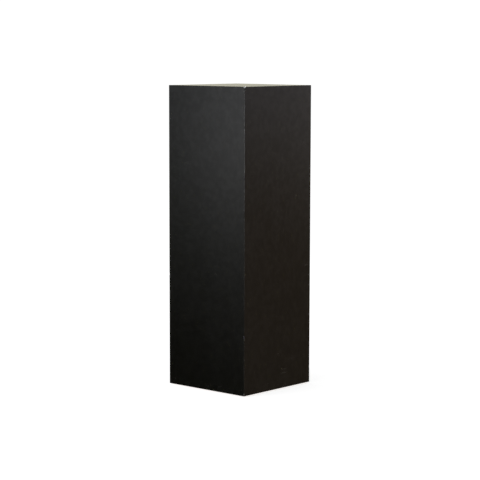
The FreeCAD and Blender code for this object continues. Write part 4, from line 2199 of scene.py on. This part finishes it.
@dataclass
class Studio:
    """The camera, the floor, a soft light and the room that the paint mirrors."""

    lens: float = 128.13
    azimuth: float = 41.587
    tilt: float = 6.52
    roll: float = 0.109
    distance: float = 4.8818
    height: float = 1.0188
    aside: float = 0.0124
    sensor: float = 36.0
    sight: float = 1000.0
    floor_size: float = 400.0
    lamp_size: float = 3.0
    lamp_power: float = 40.0
    lamp_place: tuple[float, float, float] = (-1.2, -1.6, 3.6)
    lamp_aim: tuple[float, float, float] = (0.0, 0.0, 0.4)
    backdrop: float = 1.1
    rise_span: float = 0.5
    wall_overlap: Span = (0.1, 0.95)
    ceiling: Colour = (0.05, 0.05, 0.06)
    ceiling_rise: Span = (0.2, 0.6)
    ambient: float = 0.3
    walls: tuple[Wall, ...] = (
        Wall(
            227.5,
            (
                (-0.48, (0.30, 0.29, 0.18)),
                (-0.33, (0.0, 0.0, 0.0)),
                (-0.14, (0.0, 0.0, 0.0)),
                (-0.11, (0.07, 0.07, 0.035)),
                (-0.085, (0.15, 0.15, 0.145)),
                (-0.055, (0.22, 0.22, 0.22)),
                (-0.02, (0.41, 0.43, 0.45)),
                (0.10, (0.68, 0.71, 0.78)),
                (0.40, (0.45, 0.47, 0.50)),
            ),
        ),
        Wall(
            318.0,
            (
                (-0.45, (0.45, 0.45, 0.46)),
                (-0.24, (0.03, 0.03, 0.03)),
                (-0.13, (0.08, 0.08, 0.08)),
                (-0.08, (0.60, 0.60, 0.60)),
                (-0.03, (1.1, 1.12, 1.18)),
                (0.04, (1.1, 1.12, 1.18)),
                (0.16, (0.55, 0.56, 0.60)),
                (0.40, (0.45, 0.46, 0.50)),
            ),
        ),
        Wall(
            49.7,
            (
                (-0.45, (0.44, 0.41, 0.38)),
                (-0.26, (0.13, 0.095, 0.065)),
                (-0.17, (0.172, 0.13, 0.09)),
                (-0.13, (0.23, 0.17, 0.125)),
                (-0.10, (0.20, 0.135, 0.08)),
                (-0.06, (0.245, 0.18, 0.115)),
                (-0.02, (0.57, 0.54, 0.57)),
                (0.10, (0.80, 0.79, 0.88)),
                (0.40, (0.50, 0.49, 0.50)),
            ),
        ),
        Wall(
            131.6,
            (
                (-0.45, (0.44, 0.43, 0.42)),
                (-0.24, (0.10, 0.09, 0.07)),
                (-0.16, (0.16, 0.14, 0.10)),
                (-0.02, (0.64, 0.62, 0.48)),
                (0.03, (0.93, 0.90, 0.70)),
                (0.16, (0.93, 0.90, 0.72)),
                (0.40, (0.55, 0.55, 0.55)),
            ),
        ),
    )
    glows: tuple[Glow, ...] = (
        Glow(
            "left_glow",
            228.4,
            1.35,
            (1.0, 1.0, 1.03),
            (
                *((-1.1, 0.0), (-0.10, 0.0), (-0.04, 0.08), (0.02, 0.38)),
                *((0.08, 0.56), (0.14, 0.82), (0.28, 1.2), (1.15, 0.0)),
            ),
            (
                *((-0.45, 0.0), (-0.1, 0.065), (0.05, 0.09), (0.2, 0.16)),
                *((0.42, 0.38), (0.65, 0.74), (0.9, 0.66), (1.9, 0.0)),
            ),
        ),
        Glow(
            "right_glow",
            48.4,
            1.35,
            (1.0, 0.94, 0.92),
            ((-1.1, 0.0), (-0.22, 0.0), (0.0, 0.35), (0.16, 0.9), (0.3, 1.0), (0.6, 0.8), (1.15, 0.0)),
            ((-0.45, 0.0), (0.3, 0.0), (0.45, 0.10), (0.65, 0.22), (0.9, 0.24), (1.3, 0.2), (1.9, 0.0)),
        ),
        Glow(
            "window_glow",
            318.4,
            3.2,
            (1.0, 1.0, 1.04),
            ((-1.1, 0.0), (-0.6, 15.0), (0.6, 15.0), (1.1, 0.0)),
            ((0.05, 0.0), (0.35, 0.28), (0.5, 0.36), (0.65, 0.75), (0.82, 1.6), (0.92, 1.0), (1.0, 0.0)),
        ),
    )

    def camera(self) -> None:
        """Stand the camera in front of the corner between the front and right sides."""
        low, high = (Vector(corner) for corner in CAD_BOX)
        right = level_direction(self.azimuth)
        ahead = UP.cross(right)
        corner = Vector((high.x, low.y, 0.0))
        data = bpy.data.cameras.new("camera")
        data.lens = self.lens
        data.sensor_width = self.sensor
        data.clip_end = self.sight
        camera = bpy.data.objects.new("camera", data)
        camera.location = corner - ahead * self.distance - right * self.aside + UP * self.height
        level = Matrix((right, UP, -ahead)).transposed()
        tilted = level @ Matrix.Rotation(math.radians(-self.tilt), 3, "X")
        camera.rotation_euler = (tilted @ Matrix.Rotation(math.radians(self.roll), 3, "Z")).to_euler()
        bpy.context.scene.collection.objects.link(camera)
        bpy.context.scene.camera = camera

    def floor(self) -> None:
        """Lay a pale floor that the paint doesn't mirror."""
        floor = primitive(bpy.ops.mesh.primitive_plane_add, "floor", size=self.floor_size)
        floor.data.materials.append(PaleFloor().material())
        floor.visible_glossy = False
        floor.visible_diffuse = False

    def light(self) -> None:
        """Hang a large soft light over the plinth."""
        data = bpy.data.lights.new("softbox", "AREA")
        data.shape = "SQUARE"
        data.size = self.lamp_size
        data.energy = self.lamp_power
        lamp = bpy.data.objects.new("softbox", data)
        lamp.location = self.lamp_place
        lamp.rotation_euler = (Vector(self.lamp_aim) - lamp.location).to_track_quat("-Z", "Y").to_euler()
        lamp.visible_glossy = False
        bpy.context.scene.collection.objects.link(lamp)

    def world(self) -> None:
        """Surround the plinth with white, and give the paint a room to mirror."""
        world = bpy.data.worlds.new("studio")
        world.use_nodes = True
        bpy.context.scene.world = world
        graph = Graph(world.node_tree)
        path = graph.add("LightPath").outputs
        ambient = graph.add("Background", Color=(self.ambient,) * 3)
        mirrored = graph.add("Background", Color=self.room(graph))
        seen = graph.add("Background", Color=(1.0, 1.0, 1.0), Strength=self.backdrop)
        inner = graph.add("MixShader")
        outer = graph.add("MixShader")
        for node, factor, first, second in (
            (inner, path["Is Glossy Ray"], ambient, mirrored),
            (outer, path["Is Camera Ray"], inner, seen),
        ):
            graph.feed(node.inputs[0], factor)
            graph.feed(node.inputs[1], first.outputs[0])
            graph.feed(node.inputs[2], second.outputs[0])
        graph.add("OutputWorld", Surface=outer.outputs[0])

    def room(self, graph: Graph) -> Socket:
        """Blend the walls by direction, under a dark ceiling.

        Args:
            graph: The world's graph.

        Returns:
            The mirrored room's colour.
        """
        x, y, rise = graph.parts(graph.add("TexCoord").outputs["Generated"])
        level = graph.add("CombineXYZ", X=x, Y=y).outputs[0]
        ahead = graph.vector("NORMALIZE", level).outputs[0]
        height = graph.plus(graph.math("DIVIDE", rise, 2 * self.rise_span), 0.5)
        colours, shares = [], []
        for wall in self.walls:
            facing = graph.vector("DOT_PRODUCT", ahead, tuple(wall.towards)).outputs[1]
            share = graph.ramp(facing, *self.wall_overlap)
            stops = [(place / (2 * self.rise_span) + 0.5, colour) for place, colour in wall.tones]
            part = graph.vector("SCALE", tone_ramp(graph, height, stops))
            graph.feed(part.inputs["Scale"], share)
            colours.append(part.outputs[0])
            shares.append(share)
        colour, total = colours[0], shares[0]
        for part, share in zip(colours[1:], shares[1:]):
            colour = graph.vector("ADD", colour, part).outputs[0]
            total = graph.plus(total, share)
        blend = graph.vector("SCALE", colour)
        graph.feed(blend.inputs["Scale"], graph.math("DIVIDE", 1.0, total))
        overhead = graph.ramp(rise, *self.ceiling_rise)
        return graph.mix(overhead, blend.outputs[0], self.ceiling)

    def build(self) -> None:
        """Set up the whole studio."""
        bpy.context.scene.view_settings.view_transform = "Standard"
        self.camera()
        self.floor()
        self.light()
        self.world()
        for glow in self.glows:
            glow.build()


def dress_base_board() -> None:
    """Give the base board, which keeps its CAD shape, its finish."""
    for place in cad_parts["base_board"].material_slots:
        place.material = BareBoard().material()


def main() -> None:
    """Build the studio and every sub-assembly, in order."""
    logging.basicConfig(level=logging.INFO, format="%(name)s: %(message)s")
    Studio().build()
    screws, biscuits = WoodScrews(), Biscuits()
    holes, slots = screws.holes(), biscuits.slots()
    for void in (holes, slots):
        void.data.materials.append(BareBoard().material())
    shell = Shell()
    shell.dress(shell.build((slots, holes)))
    BattenFrame().build(holes)
    discard(holes, slots)
    biscuits.build()
    screws.build()
    TeeNuts().build()
    dress_base_board()
    feet = [LevellingFoot(corner) for corner in Corner]
    pad, stud = feet[0].pad(), feet[0].stud()
    for foot in feet:
        foot.build(pad, stud)
    discard(pad, stud)


if __name__ == "__main__":
    main()
